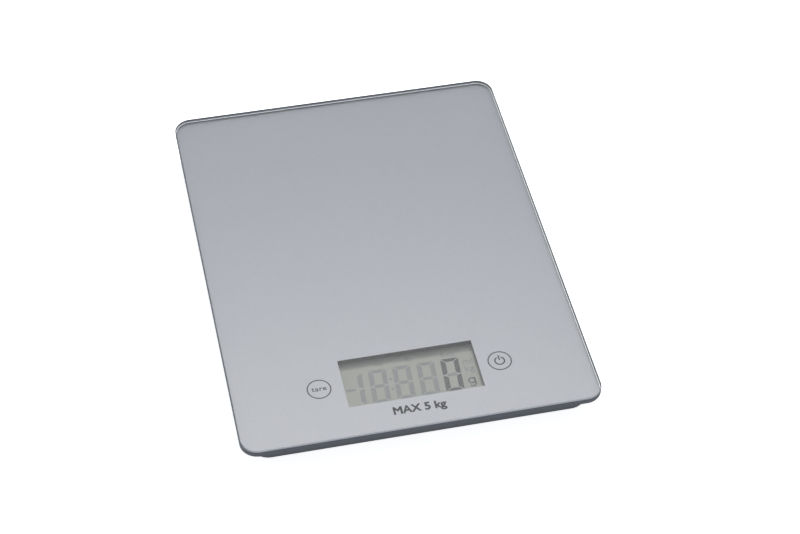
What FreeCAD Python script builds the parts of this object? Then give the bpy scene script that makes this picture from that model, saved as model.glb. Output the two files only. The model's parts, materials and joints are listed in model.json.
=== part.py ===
"""Slim glass-topped kitchen scale with four load-cell feet, a liquid-crystal display and two touch keys.

Frame: millimetres, +Z up, origin on the table surface under the middle of the scale.
+X is the user's right and +Y points away from the user, so the display is at -Y.
"""

import FreeCAD, Part

import math
import os

from FreeCAD import Vector

# ---------------------------------------------------------------- driving dimensions
# Glass platform
platform_width = 180.0
platform_length = 239.0
platform_corner_radius = 9.0
glass_thickness = 4.0
glass_top_arris = 0.5
glass_bottom_arris = 0.4

# Layers under the glass
print_thickness = 0.1
print_edge_margin = 0.6
tape_thickness = 0.4
tape_width = 7.0
tape_set_in = 1.0
window_tape_width = 3.0
window_tape_gap = 0.5
window_tape_corner = 1.5
window_tape_inner_corner = 0.8
tape_inner_corner = 2.5

# Housing
housing_overhang = 5.5          # how far the glass stands out past the housing
housing_corner_radius = 9.5
housing_ground_gap = 2.6        # from the table to the cover's underside
housing_edge_round = 1.0
plate_thickness = 1.5           # top plate of the tray
floor_thickness = 1.5           # floor of the lower cover
side_wall = 1.6
tray_skirt_depth = 2.0          # how far the tray's side wall hangs below its plate
seam_gap = 0.3
cover_lip_height = 1.4
cover_lip_thickness = 1.0
lip_clearance = 0.15
rib_thickness = 1.0
rib_depth = 0.9
rib_bay_gap = 4.0
rib_end_gap = 4.0

# Display
window_width = 68.2
window_length = 30.3
window_centre_from_front = 35.2
display_depth = 3.2             # from the glass's underside to the display's face
bezel_window_margin = 0.4
bezel_neck_wall = 1.6
bezel_top_gap = 0.1
neck_clearance = 0.3
neck_hole_corner = 0.8
bezel_corner = 2.0
bezel_neck_corner = 0.6
bezel_opening_corner = 0.4
bezel_wall = 2.4
lcd_side_margin = 3.9           # display glass beyond the window, each side
lcd_end_margin = 2.85
lcd_sheet = 0.9
lcd_board_gap = 0.6
lcd_film = 0.15
lcd_ledge = 2.4
lcd_clearance = 0.2
lcd_pocket_corner = 0.5
lcd_corner = 0.3
zebra_width = 1.8
zebra_end_gap = 2.0
film_margin = 0.8

# Circuit board
board_width = 97.0
board_back_reach = 19.0         # board behind the bezel, where the components are
board_front_reach = 1.0
board_thickness = 1.0
board_corner = 1.5
board_under_gap = 1.0           # between the board and the cover's floor
board_screw_radius = 1.0
board_screw_head_radius = 2.0
board_screw_head_height = 0.7
board_boss_radius = 2.5
board_boss_gap = 0.4
board_screw_clearance = 0.15
board_screw_thread_length = 2.6
pilot_stop = 0.4                # solid left above the blind end of a screw's hole
component_row_inset = 10.5      # from the board's back edge
resistor_row_inset = 16.0
epoxy_radius = 5.0
epoxy_height = 1.3
epoxy_x = -10.0
crystal_x = -24.0
crystal_length = 8.0
crystal_width = 3.2
crystal_height = 2.4
crystal_corner = 1.5
capacitor_count = 3
capacitor_first_x = 4.0
capacitor_pitch = 7.0
capacitor_size = (2.0, 1.3, 0.9)
resistor_count = 6
resistor_first_x = -10.0
resistor_pitch = 4.2
resistor_size = (1.6, 0.8, 0.45)

# Touch keys
touch_key_offset = 45.7         # from the middle line
touch_key_from_front = 34.5
touch_leaf_width = 3.0
touch_leaf_thickness = 0.25
touch_leaf_reach = 2.4          # half of the leaf's length
touch_spring_gap = 0.02
touch_hole_radius = 3.4

# Feet and load cells
foot_radius = 10.0
foot_clearance = 0.5
foot_travel = 0.5
foot_hub_radius = 4.5
foot_stud_radius = 2.45
foot_stud_clearance = 0.05
foot_collar_wall = 1.2
foot_pad_radius = 8.0
foot_pad_thickness = 1.6
foot_pad_seat = 0.4
foot_pad_clearance = 0.05
foot_edge_round = 0.5
foot_stud_proud = 0.2
foot_top_gap = 0.9              # left between the disc and the load cell at full travel
collar_top_gap = 1.1            # between the collar and the load cell
load_cell_side = 25.0
load_cell_thickness = 1.6
load_cell_corner = 3.0
tongue_width = 11.0
tongue_length = 17.0
tongue_slot = 1.2
carrier_wall = 2.65
carrier_lip_gap = 1.95          # from the carrier to the cover's lip, so that it clears the corner
carrier_web = 1.2
carrier_clearance = 0.15
carrier_corner = 2.0
carrier_window_margin = 0.5
carrier_window_corner = 1.0
stake_radius = 0.9
stake_inset = 1.5
stake_clearance = 0.05
gauge_length = 5.0
gauge_width = 3.0
gauge_thickness = 0.3
gauge_corner = 0.5
lead_wire_radius = 0.45
lead_wire_pitch = 1.1
lead_bend_share = 0.45          # of the shorter run that a bend takes up
lead_start_gap = 0.1
lead_bend = 8.0
lead_drop_run = 3.0
lead_landing = 3.0
front_lead_inset = 14.5         # from the board's back edge to the front leads
lead_lane_inset = 5.5           # the rear leads' lane, inwards of the board's side edge

# Screws that hold the cover to the tray
screw_shank_radius = 1.1
screw_head_radius = 2.3
screw_head_height = 1.3
screw_cup_radius = 2.8
screw_cup_wall = 1.1
screw_seat = 1.2
screw_thread_length = 2.6
screw_boss_radius = 3.0
screw_clearance = 0.2
screw_head_recess = 0.5
side_screw_inset = 14.0         # from the glass edge
side_screw_spacing = 104.0
end_screw_inset = 15.0
screw_board_gap = 2.0           # from the board to the middle screw's cup

# Battery bay, its door and the coin cell
coin_radius = 10.0
coin_thickness = 3.2
coin_cap_height = 0.3
coin_cap_margin = 1.4
coin_edge_round = 0.3
coin_clearance = 0.1
door_width = 30.0
door_length = 31.0
door_gap = 0.25
bay_wall = 1.4
bay_roof = 0.9
bay_roof_gap = 0.1
bay_centre_y = 16.0
door_barrel_radius = 1.4
door_pin_radius = 0.8
door_pin_clearance = 0.06
door_pin_length = 1.2
door_pin_end_gap = 0.35
door_pad_thickness = 0.7
door_pad_width = 1.5
door_pad_offset = 5.0
door_pad_reach = 7.0
latch_width = 8.0
latch_leaf = 0.8
latch_height = 3.0
latch_reach = 3.4
latch_catch = 0.8
latch_catch_gap = 0.15
latch_side_gap = 0.4
latch_set_back = 0.1
latch_notch_gap = 1.2
latch_grip_recess = 0.3
latch_slot_height = 1.4
finger_recess_radius = 8.0
finger_recess_depth = 0.8
contact_thickness = 0.3
contact_width = 2.6
contact_slot_gap = 0.1
contact_tab_length = 3.0
contact_leaf_reach = 6.0
contact_leaf_tail = 3.0
contact_leaf_lift = 0.3
contact_blade_gap = 0.02
contact_blade_reach = 3.0
contact_blade_lift = 0.5        # from the cell's face to the blade's lower end
negative_tab_x = 0.0
positive_tab_x = -12.4
battery_lane = 7.0              # the battery leads' distance from the middle line

# Unit button on the underside
unit_button_radius = 4.5
unit_button_gap = 0.3
unit_button_recess = 0.3
unit_button_travel = 0.4
unit_pill_radius = 2.0
unit_pill_thickness = 0.2
unit_flange_radius = 7.5
unit_flange_width = 1.8
unit_web_thickness = 0.3
unit_button_x = 30.0
unit_board_margin = 1.5         # from the clamped rim to the board's back edge
unit_cap_round = 0.4

# Rating label on the underside
label_width = 44.0
label_length = 18.0
label_thickness = 0.1
label_corner = 1.0
label_gap = 28.0                # from the battery bay

# Screw shapes, as shares of the head's radius or height, or of the shank's radius
head_edge_share = 0.4           # bevelled part of the head's height
head_face_share = 0.8           # radius of the flat face
slot_reach_share = 0.62
slot_half_width_share = 0.13
slot_depth_share = 0.5
point_length_share = 0.8
point_end_share = 0.3

# Shape making
cut_past = 1.0                  # how far a cutting solid runs past what it cuts
hair = 1e-6                     # heights this close count as one

# ---------------------------------------------------------------- levels and places that follow
cover_bottom = housing_ground_gap
cover_floor = cover_bottom + floor_thickness
board_bottom = cover_floor + board_under_gap
board_top = board_bottom + board_thickness
lcd_lower_bottom = board_top + lcd_board_gap + lcd_film
lcd_upper_bottom = lcd_lower_bottom + lcd_sheet
lcd_face = lcd_upper_bottom + lcd_sheet + lcd_film
glass_bottom = lcd_face + display_depth
glass_top = glass_bottom + glass_thickness
print_bottom = glass_bottom - print_thickness
tray_top = print_bottom - tape_thickness
tray_under = tray_top - plate_thickness
seam_top = tray_under - tray_skirt_depth
seam_bottom = seam_top - seam_gap

housing_width = platform_width - 2 * housing_overhang
housing_length = platform_length - 2 * housing_overhang
inner_width = housing_width - 2 * side_wall
inner_length = housing_length - 2 * side_wall
inner_radius = housing_corner_radius - side_wall

front_edge = -platform_length / 2
window_y = front_edge + window_centre_from_front
touch_key_y = front_edge + touch_key_from_front

lcd_width = window_width + 2 * lcd_side_margin
lcd_length = window_length + 2 * lcd_end_margin
bezel_half_width = lcd_width / 2 + lcd_clearance + bezel_wall
bezel_half_length = lcd_length / 2 + lcd_clearance + bezel_wall
board_front = window_y - bezel_half_length - board_front_reach
board_back = window_y + bezel_half_length + board_back_reach
board_screw_x = bezel_half_width + board_boss_radius + board_boss_gap
board_screw_y = bezel_half_length - board_boss_radius
component_row_y = board_back - component_row_inset
resistor_row_y = board_back - resistor_row_inset
front_lead_y = board_back - front_lead_inset

carrier_side = load_cell_side + 2 * (carrier_clearance + carrier_wall)
lip_inside = housing_overhang + side_wall + lip_clearance + cover_lip_thickness
foot_inset = lip_inside + carrier_lip_gap + carrier_side / 2
foot_x = platform_width / 2 - foot_inset
foot_y = platform_length / 2 - foot_inset
carrier_top = tray_under
load_cell_top = carrier_top - carrier_web
load_cell_bottom = load_cell_top - load_cell_thickness
foot_disc_top = load_cell_bottom - foot_travel - foot_top_gap
foot_collar_top = load_cell_bottom - collar_top_gap
lead_level = (load_cell_top + gauge_thickness + tray_under) / 2
corners = {
    "front_left": (-1, -1),
    "front_right": (1, -1),
    "rear_left": (-1, 1),
    "rear_right": (1, 1),
}

side_screw_x = platform_width / 2 - side_screw_inset
cover_screw_places = [
    (sx * side_screw_x, sy * side_screw_spacing / 2) for sx in (-1, 1) for sy in (-1, 1)
]
cover_screw_places.append((0.0, platform_length / 2 - end_screw_inset))
cover_screw_places.append((0.0, board_back + screw_cup_radius + screw_cup_wall + screw_board_gap))
screw_cup_top = cover_bottom + screw_head_recess + screw_head_height
screw_seat_top = screw_cup_top + screw_seat

bay_half_width = door_width / 2 + door_gap
bay_half_length = door_length / 2 + door_gap
bay_front = bay_centre_y - bay_half_length
bay_back = bay_centre_y + bay_half_length
hinge_y = bay_back - door_gap - door_barrel_radius
hinge_z = cover_bottom + door_barrel_radius
bay_roof_top = tray_under - bay_roof_gap
bay_roof_under = bay_roof_top - bay_roof
coin_bottom = cover_floor + door_pad_thickness + coin_clearance
coin_top = coin_bottom + coin_thickness
coin_y = (bay_front + latch_reach + hinge_y - door_barrel_radius) / 2
contact_bottom = bay_roof_under - contact_thickness
contact_tab_end = bay_front - bay_wall - contact_tab_length
latch_slot_top = cover_floor + latch_slot_height
label_y = bay_back + label_gap + label_length / 2
rib_x = bay_half_width + bay_wall + rib_bay_gap

unit_button_y = board_back - unit_flange_radius - unit_board_margin
unit_cap_top = board_bottom - unit_button_travel - unit_pill_thickness


# ---------------------------------------------------------------- shape helpers
def rounded_outline(width, length, radius, z, x=0.0, y=0.0):
    """A closed rectangle of straight runs and tangent corner arcs."""
    quarter = math.pi / 2
    arcs = []
    for k, (sx, sy) in enumerate([(1, 1), (-1, 1), (-1, -1), (1, -1)]):
        cx, cy = x + sx * (width / 2 - radius), y + sy * (length / 2 - radius)
        angles = (k * quarter, (k + 0.5) * quarter, (k + 1) * quarter)
        arcs.append([Vector(cx + radius * math.cos(a), cy + radius * math.sin(a), z) for a in angles])
    edges = []
    for k, arc in enumerate(arcs):
        edges.append(Part.Arc(*arc).toShape())
        edges.append(Part.LineSegment(arc[2], arcs[(k + 1) % 4][0]).toShape())
    return Part.Wire(edges)


def rounded_slab(width, length, radius, bottom, top, x=0.0, y=0.0):
    face = Part.Face(rounded_outline(width, length, radius, bottom, x, y))
    return face.extrude(Vector(0, 0, top - bottom))


def box(x0, x1, y0, y1, z0, z1):
    return Part.makeBox(x1 - x0, y1 - y0, z1 - z0, Vector(x0, y0, z0))


def post(x, y, bottom, top, radius):
    return Part.makeCylinder(radius, top - bottom, Vector(x, y, bottom))


def frustum(x, y, bottom, top, bottom_radius, top_radius):
    return Part.makeCone(bottom_radius, top_radius, top - bottom, Vector(x, y, bottom))


def rod_x(x0, x1, y, z, radius):
    return Part.makeCylinder(radius, x1 - x0, Vector(x0, y, z), Vector(1, 0, 0))


def strip_x(profile, x0, x1):
    """A closed outline of (y, z) points, drawn out along X."""
    points = [Vector(x0, y, z) for y, z in profile]
    face = Part.Face(Part.makePolygon(points + [points[0]]))
    return face.extrude(Vector(x1 - x0, 0, 0))


def bent_strip(centre_line, thickness, x0, x1):
    """Sheet metal of one thickness, folded along a line of (y, z) points and drawn out along X."""
    line = [Vector(0, y, z) for y, z in centre_line]
    runs = [(b - a).normalize() for a, b in zip(line, line[1:])]
    before, after = [runs[0]] + runs, runs + [runs[-1]]
    upper, lower = [], []
    for point, run_in, run_out in zip(line, before, after):
        normal_in = Vector(0, -run_in.z, run_in.y)
        normal_out = Vector(0, -run_out.z, run_out.y)
        mitre = (normal_in + normal_out).normalize()
        mitre = mitre * (thickness / 2 / mitre.dot(normal_in))
        upper.append(point + mitre)
        lower.append(point - mitre)
    outline = [(v.y, v.z) for v in upper + lower[::-1]]
    return strip_x(outline, x0, x1)


def edges_at(shape, z):
    """The edges that lie flat at height z."""
    return [
        e for e in shape.Edges if abs(e.BoundBox.ZMin - z) < hair and abs(e.BoundBox.ZMax - z) < hair
    ]


def tube(points, radius):
    """A round wire on straight runs and tangent arcs, each as large as its runs allow."""
    points = [Vector(*p) for p in points]
    edges = []
    start = points[0]
    for before, corner, after in zip(points, points[1:], points[2:]):
        back = (before - corner).normalize()
        ahead = (after - corner).normalize()
        half_turn = (math.pi - back.getAngle(ahead)) / 2
        cut = lead_bend_share * min((before - corner).Length, (after - corner).Length)
        arc_radius = cut / math.tan(half_turn)
        inward = (back + ahead).normalize()
        middle = corner + inward * (arc_radius / math.cos(half_turn) - arc_radius)
        first, last = corner + back * cut, corner + ahead * cut
        edges.append(Part.LineSegment(start, first).toShape())
        edges.append(Part.Arc(first, middle, last).toShape())
        start = last
    edges.append(Part.LineSegment(start, points[-1]).toShape())
    section = Part.Wire(Part.makeCircle(radius, points[0], points[1] - points[0]))
    return Part.Wire(edges).makePipeShell([section], True, False)


def upward_screw(x, y, head_bottom, head_height, head_radius, shank_radius, tip):
    """A screw driven upwards: a head with a cross recess, a shank and a cone tip."""
    edge = head_height * head_edge_share
    face = head_radius * head_face_share
    head = frustum(x, y, head_bottom, head_bottom + edge, face, head_radius)
    head = head.fuse(post(x, y, head_bottom + edge, head_bottom + head_height, head_radius))
    point = shank_radius * point_length_share
    shank = post(x, y, head_bottom + head_height, tip - point, shank_radius)
    cone = frustum(x, y, tip - point, tip, shank_radius, shank_radius * point_end_share)
    reach, half_slot = head_radius * slot_reach_share, head_radius * slot_half_width_share
    slot_top = head_bottom + head_height * slot_depth_share
    along = box(x - reach, x + reach, y - half_slot, y + half_slot, head_bottom, slot_top)
    across = box(x - half_slot, x + half_slot, y - reach, y + reach, head_bottom, slot_top)
    return head.fuse(shank).fuse(cone).cut(along.fuse(across))


def save(name, *solids):
    """Writes one sub-part, as one solid or a group of separate solids."""
    shape = solids[0].removeSplitter() if len(solids) == 1 else Part.makeCompound(list(solids))
    volume = sum(s.Volume for s in shape.Solids)
    if not shape.isValid() or volume <= 0:
        raise ValueError(f"{name} isn't a valid solid")
    if len(shape.Solids) != len(solids):
        raise ValueError(f"{name} has {len(shape.Solids)} solids, not {len(solids)}")
    shape.exportStep(f"parts/{name}.step")
    print(f"{name:28s} {len(shape.Solids)} solid(s) {volume:10.1f} mm3")


# ---------------------------------------------------------------- glass platform and its layers
def glass_platform():
    slab = rounded_slab(
        platform_width, platform_length, platform_corner_radius, glass_bottom, glass_top
    )
    slab = slab.makeChamfer(glass_top_arris, edges_at(slab, glass_top))
    return slab.makeChamfer(glass_bottom_arris, edges_at(slab, glass_bottom))


def back_print():
    """The silver ink on the glass's underside, left open where the display shows."""
    sheet = rounded_slab(
        platform_width - 2 * print_edge_margin,
        platform_length - 2 * print_edge_margin,
        platform_corner_radius - print_edge_margin,
        print_bottom,
        glass_bottom,
    )
    half_w, half_l = window_width / 2, window_length / 2
    window = box(
        -half_w,
        half_w,
        window_y - half_l,
        window_y + half_l,
        print_bottom - cut_past,
        glass_bottom + cut_past,
    )
    return sheet.cut(window)


def platform_tape():
    """Double-sided foam tape round the edge of the tray."""
    outer = rounded_slab(
        housing_width - 2 * tape_set_in,
        housing_length - 2 * tape_set_in,
        housing_corner_radius - tape_set_in,
        tray_top,
        print_bottom,
    )
    inner_set_in = tape_set_in + tape_width
    inner = rounded_slab(
        housing_width - 2 * inner_set_in,
        housing_length - 2 * inner_set_in,
        tape_inner_corner,
        tray_top - cut_past,
        print_bottom + cut_past,
    )
    return outer.cut(inner)


def neck_size(extra):
    """Outer width and length of the bezel's neck, with an allowance all round."""
    grow = 2 * (bezel_window_margin + bezel_neck_wall + extra)
    return window_width + grow, window_length + grow


def window_tape():
    """Tape round the display's opening that keeps dust out of the window."""
    inner_w, inner_l = neck_size(window_tape_gap)
    outer_w, outer_l = neck_size(window_tape_gap + window_tape_width)
    outer = rounded_slab(
        outer_w, outer_l, window_tape_corner, tray_top, print_bottom, 0, window_y
    )
    inner = rounded_slab(
        inner_w,
        inner_l,
        window_tape_inner_corner,
        tray_top - cut_past,
        print_bottom + cut_past,
        0,
        window_y,
    )
    return outer.cut(inner)


# ---------------------------------------------------------------- housing
def board_screw_places():
    return [
        (sx * board_screw_x, window_y + sy * board_screw_y) for sx in (-1, 1) for sy in (-1, 1)
    ]


def stake_places(sx, sy):
    """Centres of the four pins that are melted over to hold one load-cell carrier."""
    reach = carrier_side / 2 - stake_inset
    return [
        (sx * foot_x + px * reach, sy * foot_y + py * reach) for px in (-1, 1) for py in (-1, 1)
    ]


def upper_tray():
    """The top shell: a plate under the glass with a skirt, ribs, bosses and stake pins."""
    shell = rounded_slab(
        housing_width, housing_length, housing_corner_radius, seam_top, tray_top
    )
    hollow = rounded_slab(inner_width, inner_length, inner_radius, seam_top - cut_past, tray_under)
    tray = shell.cut(hollow)
    hole_w, hole_l = neck_size(neck_clearance)
    tray = tray.cut(
        rounded_slab(
            hole_w, hole_l, neck_hole_corner, tray_under - cut_past, tray_top + cut_past, 0, window_y
        )
    )
    for side in (-1, 1):
        x = side * touch_key_offset
        tray = tray.cut(post(x, touch_key_y, tray_under - cut_past, tray_top + cut_past, touch_hole_radius))
    for x, y in cover_screw_places:
        tray = tray.fuse(post(x, y, screw_seat_top, tray_under, screw_boss_radius))
        tray = tray.cut(post(x, y, screw_seat_top - cut_past, tray_under - pilot_stop, screw_shank_radius))
    for x, y in board_screw_places():
        tray = tray.fuse(post(x, y, board_top, tray_under, board_boss_radius))
        tray = tray.cut(post(x, y, board_top - cut_past, tray_under - pilot_stop, board_screw_radius))
    for sx, sy in corners.values():
        for x, y in stake_places(sx, sy):
            tray = tray.fuse(post(x, y, load_cell_bottom, tray_under, stake_radius))
    for side in (-1, 1):
        x = side * rib_x
        rib = box(
            x - rib_thickness / 2,
            x + rib_thickness / 2,
            cover_screw_places[-1][1] + screw_boss_radius + rib_end_gap,
            platform_length / 2 - end_screw_inset - rib_end_gap,
            tray_under - rib_depth,
            tray_under,
        )
        tray = tray.fuse(rib)
    return tray


def lower_cover():
    """The bottom shell: floor, side wall, seam lip, foot collars, screw cups and battery bay."""
    shell = rounded_slab(
        housing_width, housing_length, housing_corner_radius, cover_bottom, seam_bottom
    )
    shell = shell.makeFillet(housing_edge_round, edges_at(shell, cover_bottom))
    lip_set_in = side_wall + lip_clearance
    lip_top = seam_top + cover_lip_height
    lip = rounded_slab(
        housing_width - 2 * lip_set_in,
        housing_length - 2 * lip_set_in,
        housing_corner_radius - lip_set_in,
        cover_floor,
        lip_top,
    )
    hollow_set_in = lip_set_in + cover_lip_thickness
    hollow = rounded_slab(
        housing_width - 2 * hollow_set_in,
        housing_length - 2 * hollow_set_in,
        housing_corner_radius - hollow_set_in,
        cover_floor,
        lip_top + cut_past,
    )
    cover = shell.fuse(lip).cut(hollow)
    for sx, sy in corners.values():
        x, y = sx * foot_x, sy * foot_y
        hole_radius = foot_radius + foot_clearance
        collar = post(x, y, cover_floor, foot_collar_top, hole_radius + foot_collar_wall)
        hole = post(x, y, cover_bottom - cut_past, foot_collar_top + cut_past, hole_radius)
        cover = cover.fuse(collar).cut(hole)
    for x, y in cover_screw_places:
        cup = post(x, y, cover_floor, screw_seat_top, screw_cup_radius + screw_cup_wall)
        recess = post(x, y, cover_bottom - cut_past, screw_cup_top, screw_cup_radius)
        through = post(
            x, y, screw_cup_top - cut_past, screw_seat_top + cut_past, screw_shank_radius + screw_clearance
        )
        cover = cover.fuse(cup).cut(recess).cut(through)
    cover = cover.fuse(battery_bay()).cut(battery_bay_space())
    hole_radius = unit_button_radius + unit_button_gap
    button_hole = post(
        unit_button_x, unit_button_y, cover_bottom - cut_past, cover_floor + cut_past, hole_radius
    )
    return cover.cut(button_hole).cut(finger_recess())


def battery_bay():
    """The walls and roof of the well that the coin cell sits in."""
    return box(
        -bay_half_width - bay_wall,
        bay_half_width + bay_wall,
        bay_front - bay_wall,
        bay_back + bay_wall,
        cover_bottom + housing_edge_round,
        bay_roof_top,
    )


def battery_bay_space():
    """All that is cut out of the bay: the well, the hinge bores, the catch and contact slots."""
    well = box(
        -bay_half_width, bay_half_width, bay_front, bay_back, cover_bottom - cut_past, bay_roof_under
    )
    bore_end = door_width / 2 + door_pin_length + door_pin_end_gap
    bores = rod_x(-bore_end, bore_end, hinge_y, hinge_z, door_pin_radius + door_pin_clearance)
    half_catch = latch_width / 2 + latch_side_gap
    wall_front = bay_front - bay_wall
    catch_slot = box(
        -half_catch, half_catch, wall_front - cut_past, bay_front + cut_past, cover_floor, latch_slot_top
    )
    space = well.fuse(bores).fuse(catch_slot)
    for x in (positive_tab_x, negative_tab_x):
        half_slot = contact_width / 2 + contact_slot_gap
        slot = box(
            x - half_slot,
            x + half_slot,
            wall_front - cut_past,
            bay_front + cut_past,
            contact_bottom - contact_slot_gap,
            bay_roof_under,
        )
        space = space.fuse(slot)
    return space


def finger_recess():
    """A shallow half-round dip beside the door's latch."""
    top = cover_bottom + finger_recess_depth
    reach = finger_recess_radius
    disc = post(0, bay_front, cover_bottom - cut_past, top, reach)
    return disc.common(box(-reach, reach, bay_front - reach, bay_front, cover_bottom - cut_past, top))


def cover_screws():
    head_bottom = screw_cup_top - screw_head_height
    tip = screw_seat_top + screw_thread_length
    return [
        upward_screw(
            x, y, head_bottom, screw_head_height, screw_head_radius, screw_shank_radius, tip
        )
        for x, y in cover_screw_places
    ]


def rating_label():
    return rounded_slab(
        label_width,
        label_length,
        label_corner,
        cover_bottom - label_thickness,
        cover_bottom,
        0,
        label_y,
    )


# ---------------------------------------------------------------- display
def display_bezel():
    """Frame between the board and the tray that holds the display and lines the window."""
    body_top = tray_under - bezel_top_gap
    body = rounded_slab(
        2 * bezel_half_width,
        2 * bezel_half_length,
        bezel_corner,
        board_top,
        body_top,
        0,
        window_y,
    )
    pocket = rounded_slab(
        lcd_width + 2 * lcd_clearance,
        lcd_length + 2 * lcd_clearance,
        lcd_pocket_corner,
        board_top - cut_past,
        lcd_face,
        0,
        window_y,
    )
    neck_w, neck_l = neck_size(0.0)
    neck_top = print_bottom - bezel_top_gap
    neck = rounded_slab(neck_w, neck_l, bezel_neck_corner, body_top, neck_top, 0, window_y)
    opening_w = window_width + 2 * bezel_window_margin
    opening_l = window_length + 2 * bezel_window_margin
    opening = rounded_slab(
        opening_w, opening_l, bezel_opening_corner, board_top, neck_top + cut_past, 0, window_y
    )
    return body.cut(pocket).fuse(neck).cut(opening)


def lcd_layer(side_margin, end_margin, bottom, top):
    """One flat layer of the display, set in from the display's full size."""
    width, length = lcd_width - 2 * side_margin, lcd_length - 2 * end_margin
    return rounded_slab(width, length, lcd_corner, bottom, top, 0, window_y)


def zebra_strips():
    """Two rubber connector strips from the board to the display's contact ledges."""
    half = lcd_width / 2 - zebra_end_gap
    made = []
    for side in (-1, 1):
        y = window_y + side * (lcd_length / 2 - lcd_ledge / 2)
        near, far = y - zebra_width / 2, y + zebra_width / 2
        made.append(box(-half, half, near, far, board_top, lcd_upper_bottom))
    return made


# ---------------------------------------------------------------- electronics
def circuit_board():
    middle = (board_front + board_back) / 2
    board = rounded_slab(
        board_width, board_back - board_front, board_corner, board_bottom, board_top, 0, middle
    )
    hole_radius = board_screw_radius + board_screw_clearance
    for x, y in board_screw_places():
        board = board.cut(post(x, y, board_bottom - cut_past, board_top + cut_past, hole_radius))
    return board


def controller_chip():
    """The controller chip under its round drop of black epoxy."""
    ball = (epoxy_radius**2 + epoxy_height**2) / (2 * epoxy_height)
    centre = Vector(epoxy_x, component_row_y, board_top + epoxy_height - ball)
    past = board_top + epoxy_height + cut_past
    cap = post(epoxy_x, component_row_y, board_top, past, epoxy_radius)
    return Part.makeSphere(ball, centre).common(cap)


def chip_row(count, first_x, pitch, y, size):
    """A row of small rectangular chips soldered to the board."""
    length, width, height = size
    made = []
    for k in range(count):
        x = first_x + k * pitch
        made.append(
            box(
                x - length / 2,
                x + length / 2,
                y - width / 2,
                y + width / 2,
                board_top,
                board_top + height,
            )
        )
    return made


def board_crystal():
    """The clock crystal: a small metal can with rounded ends."""
    return rounded_slab(
        crystal_length,
        crystal_width,
        crystal_corner,
        board_top,
        board_top + crystal_height,
        crystal_x,
        component_row_y,
    )


def board_screws():
    head_bottom = board_bottom - board_screw_head_height
    return [
        upward_screw(
            x,
            y,
            head_bottom,
            board_screw_head_height,
            board_screw_head_radius,
            board_screw_radius,
            board_top + board_screw_thread_length,
        )
        for x, y in board_screw_places()
    ]


def touch_spring(side):
    """A folded leaf that carries the touch signal from the board up to the printed key."""
    x = side * touch_key_offset
    low = board_top + touch_leaf_thickness / 2
    high = print_bottom - touch_spring_gap - touch_leaf_thickness / 2
    fold = [
        (touch_key_y - touch_leaf_reach, low),
        (touch_key_y + touch_leaf_reach, low),
        (touch_key_y - touch_leaf_reach, (low + high) / 2),
        (touch_key_y + touch_leaf_reach, high),
        (touch_key_y - touch_leaf_reach / 2, high),
    ]
    return bent_strip(fold, touch_leaf_thickness, x - touch_leaf_width / 2, x + touch_leaf_width / 2)


# ---------------------------------------------------------------- feet and load cells
def load_cell(sx, sy):
    """A spring-steel plate whose middle tongue bends as the foot pushes on it.

    The tongue is rooted on the side nearer the middle of the scale.
    """
    x, y = sx * foot_x, sy * foot_y
    bottom, top = load_cell_bottom, load_cell_top
    plate = rounded_slab(load_cell_side, load_cell_side, load_cell_corner, bottom, top, x, y)
    half_w, half_l = tongue_width / 2, tongue_length / 2
    outer = sy * (half_l + tongue_slot)
    root = -sy * half_l
    opening = box(
        x - half_w - tongue_slot,
        x + half_w + tongue_slot,
        y + min(outer, root),
        y + max(outer, root),
        bottom,
        top,
    )
    tongue = box(x - half_w, x + half_w, y - half_l, y + half_l, bottom, top)
    stud_hole = post(x, y, bottom, top, foot_stud_radius + foot_stud_clearance)
    return plate.cut(opening.cut(tongue)).cut(stud_hole)


def gauge_y(sy):
    """Middle of the strain gauge, just off the tongue's root."""
    return sy * (foot_y - tongue_length / 2 + gauge_length / 2)


def strain_gauge(sx, sy):
    top = load_cell_top + gauge_thickness
    return rounded_slab(
        gauge_width,
        gauge_length,
        gauge_corner,
        load_cell_top,
        top,
        sx * foot_x,
        gauge_y(sy),
    )


def sensor_carrier(sx, sy):
    """The moulded frame that holds the load cell's rim and leaves its tongue free."""
    x, y = sx * foot_x, sy * foot_y
    body = rounded_slab(
        carrier_side, carrier_side, carrier_corner, load_cell_bottom, carrier_top, x, y
    )
    seat_side = load_cell_side + 2 * carrier_clearance
    seat = rounded_slab(
        seat_side, seat_side, load_cell_corner, load_cell_bottom - cut_past, load_cell_top, x, y
    )
    open_w = tongue_width + 2 * (tongue_slot + carrier_window_margin)
    open_l = tongue_length + 2 * (tongue_slot + carrier_window_margin)
    window = rounded_slab(
        open_w, open_l, carrier_window_corner, load_cell_top - cut_past, carrier_top + cut_past, x, y
    )
    carrier = body.cut(seat).cut(window)
    for px, py in stake_places(sx, sy):
        hole_radius = stake_radius + stake_clearance
        hole = post(px, py, load_cell_bottom - cut_past, carrier_top + cut_past, hole_radius)
        carrier = carrier.cut(hole)
    half_notch = lead_wire_pitch + 2 * lead_wire_radius
    inner, outer = y - sy * tongue_length / 2, y - sy * (carrier_side / 2 + cut_past)
    notch = box(
        x - half_notch,
        x + half_notch,
        min(inner, outer),
        max(inner, outer),
        load_cell_top,
        carrier_top + cut_past,
    )
    return carrier.cut(notch)


def foot(sx, sy):
    """The round foot: a disc with a pad seat, a hub under the tongue and a stud through it."""
    x, y = sx * foot_x, sy * foot_y
    disc_bottom = foot_pad_thickness - foot_pad_seat
    disc = post(x, y, disc_bottom, foot_disc_top, foot_radius)
    disc = disc.makeFillet(foot_edge_round, edges_at(disc, disc_bottom))
    seat = post(x, y, disc_bottom - cut_past, foot_pad_thickness, foot_pad_radius + foot_pad_clearance)
    hub = post(x, y, foot_disc_top, load_cell_bottom, foot_hub_radius)
    stud = post(x, y, load_cell_bottom, load_cell_top + foot_stud_proud, foot_stud_radius)
    return disc.fuse(hub).fuse(stud).cut(seat)


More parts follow.
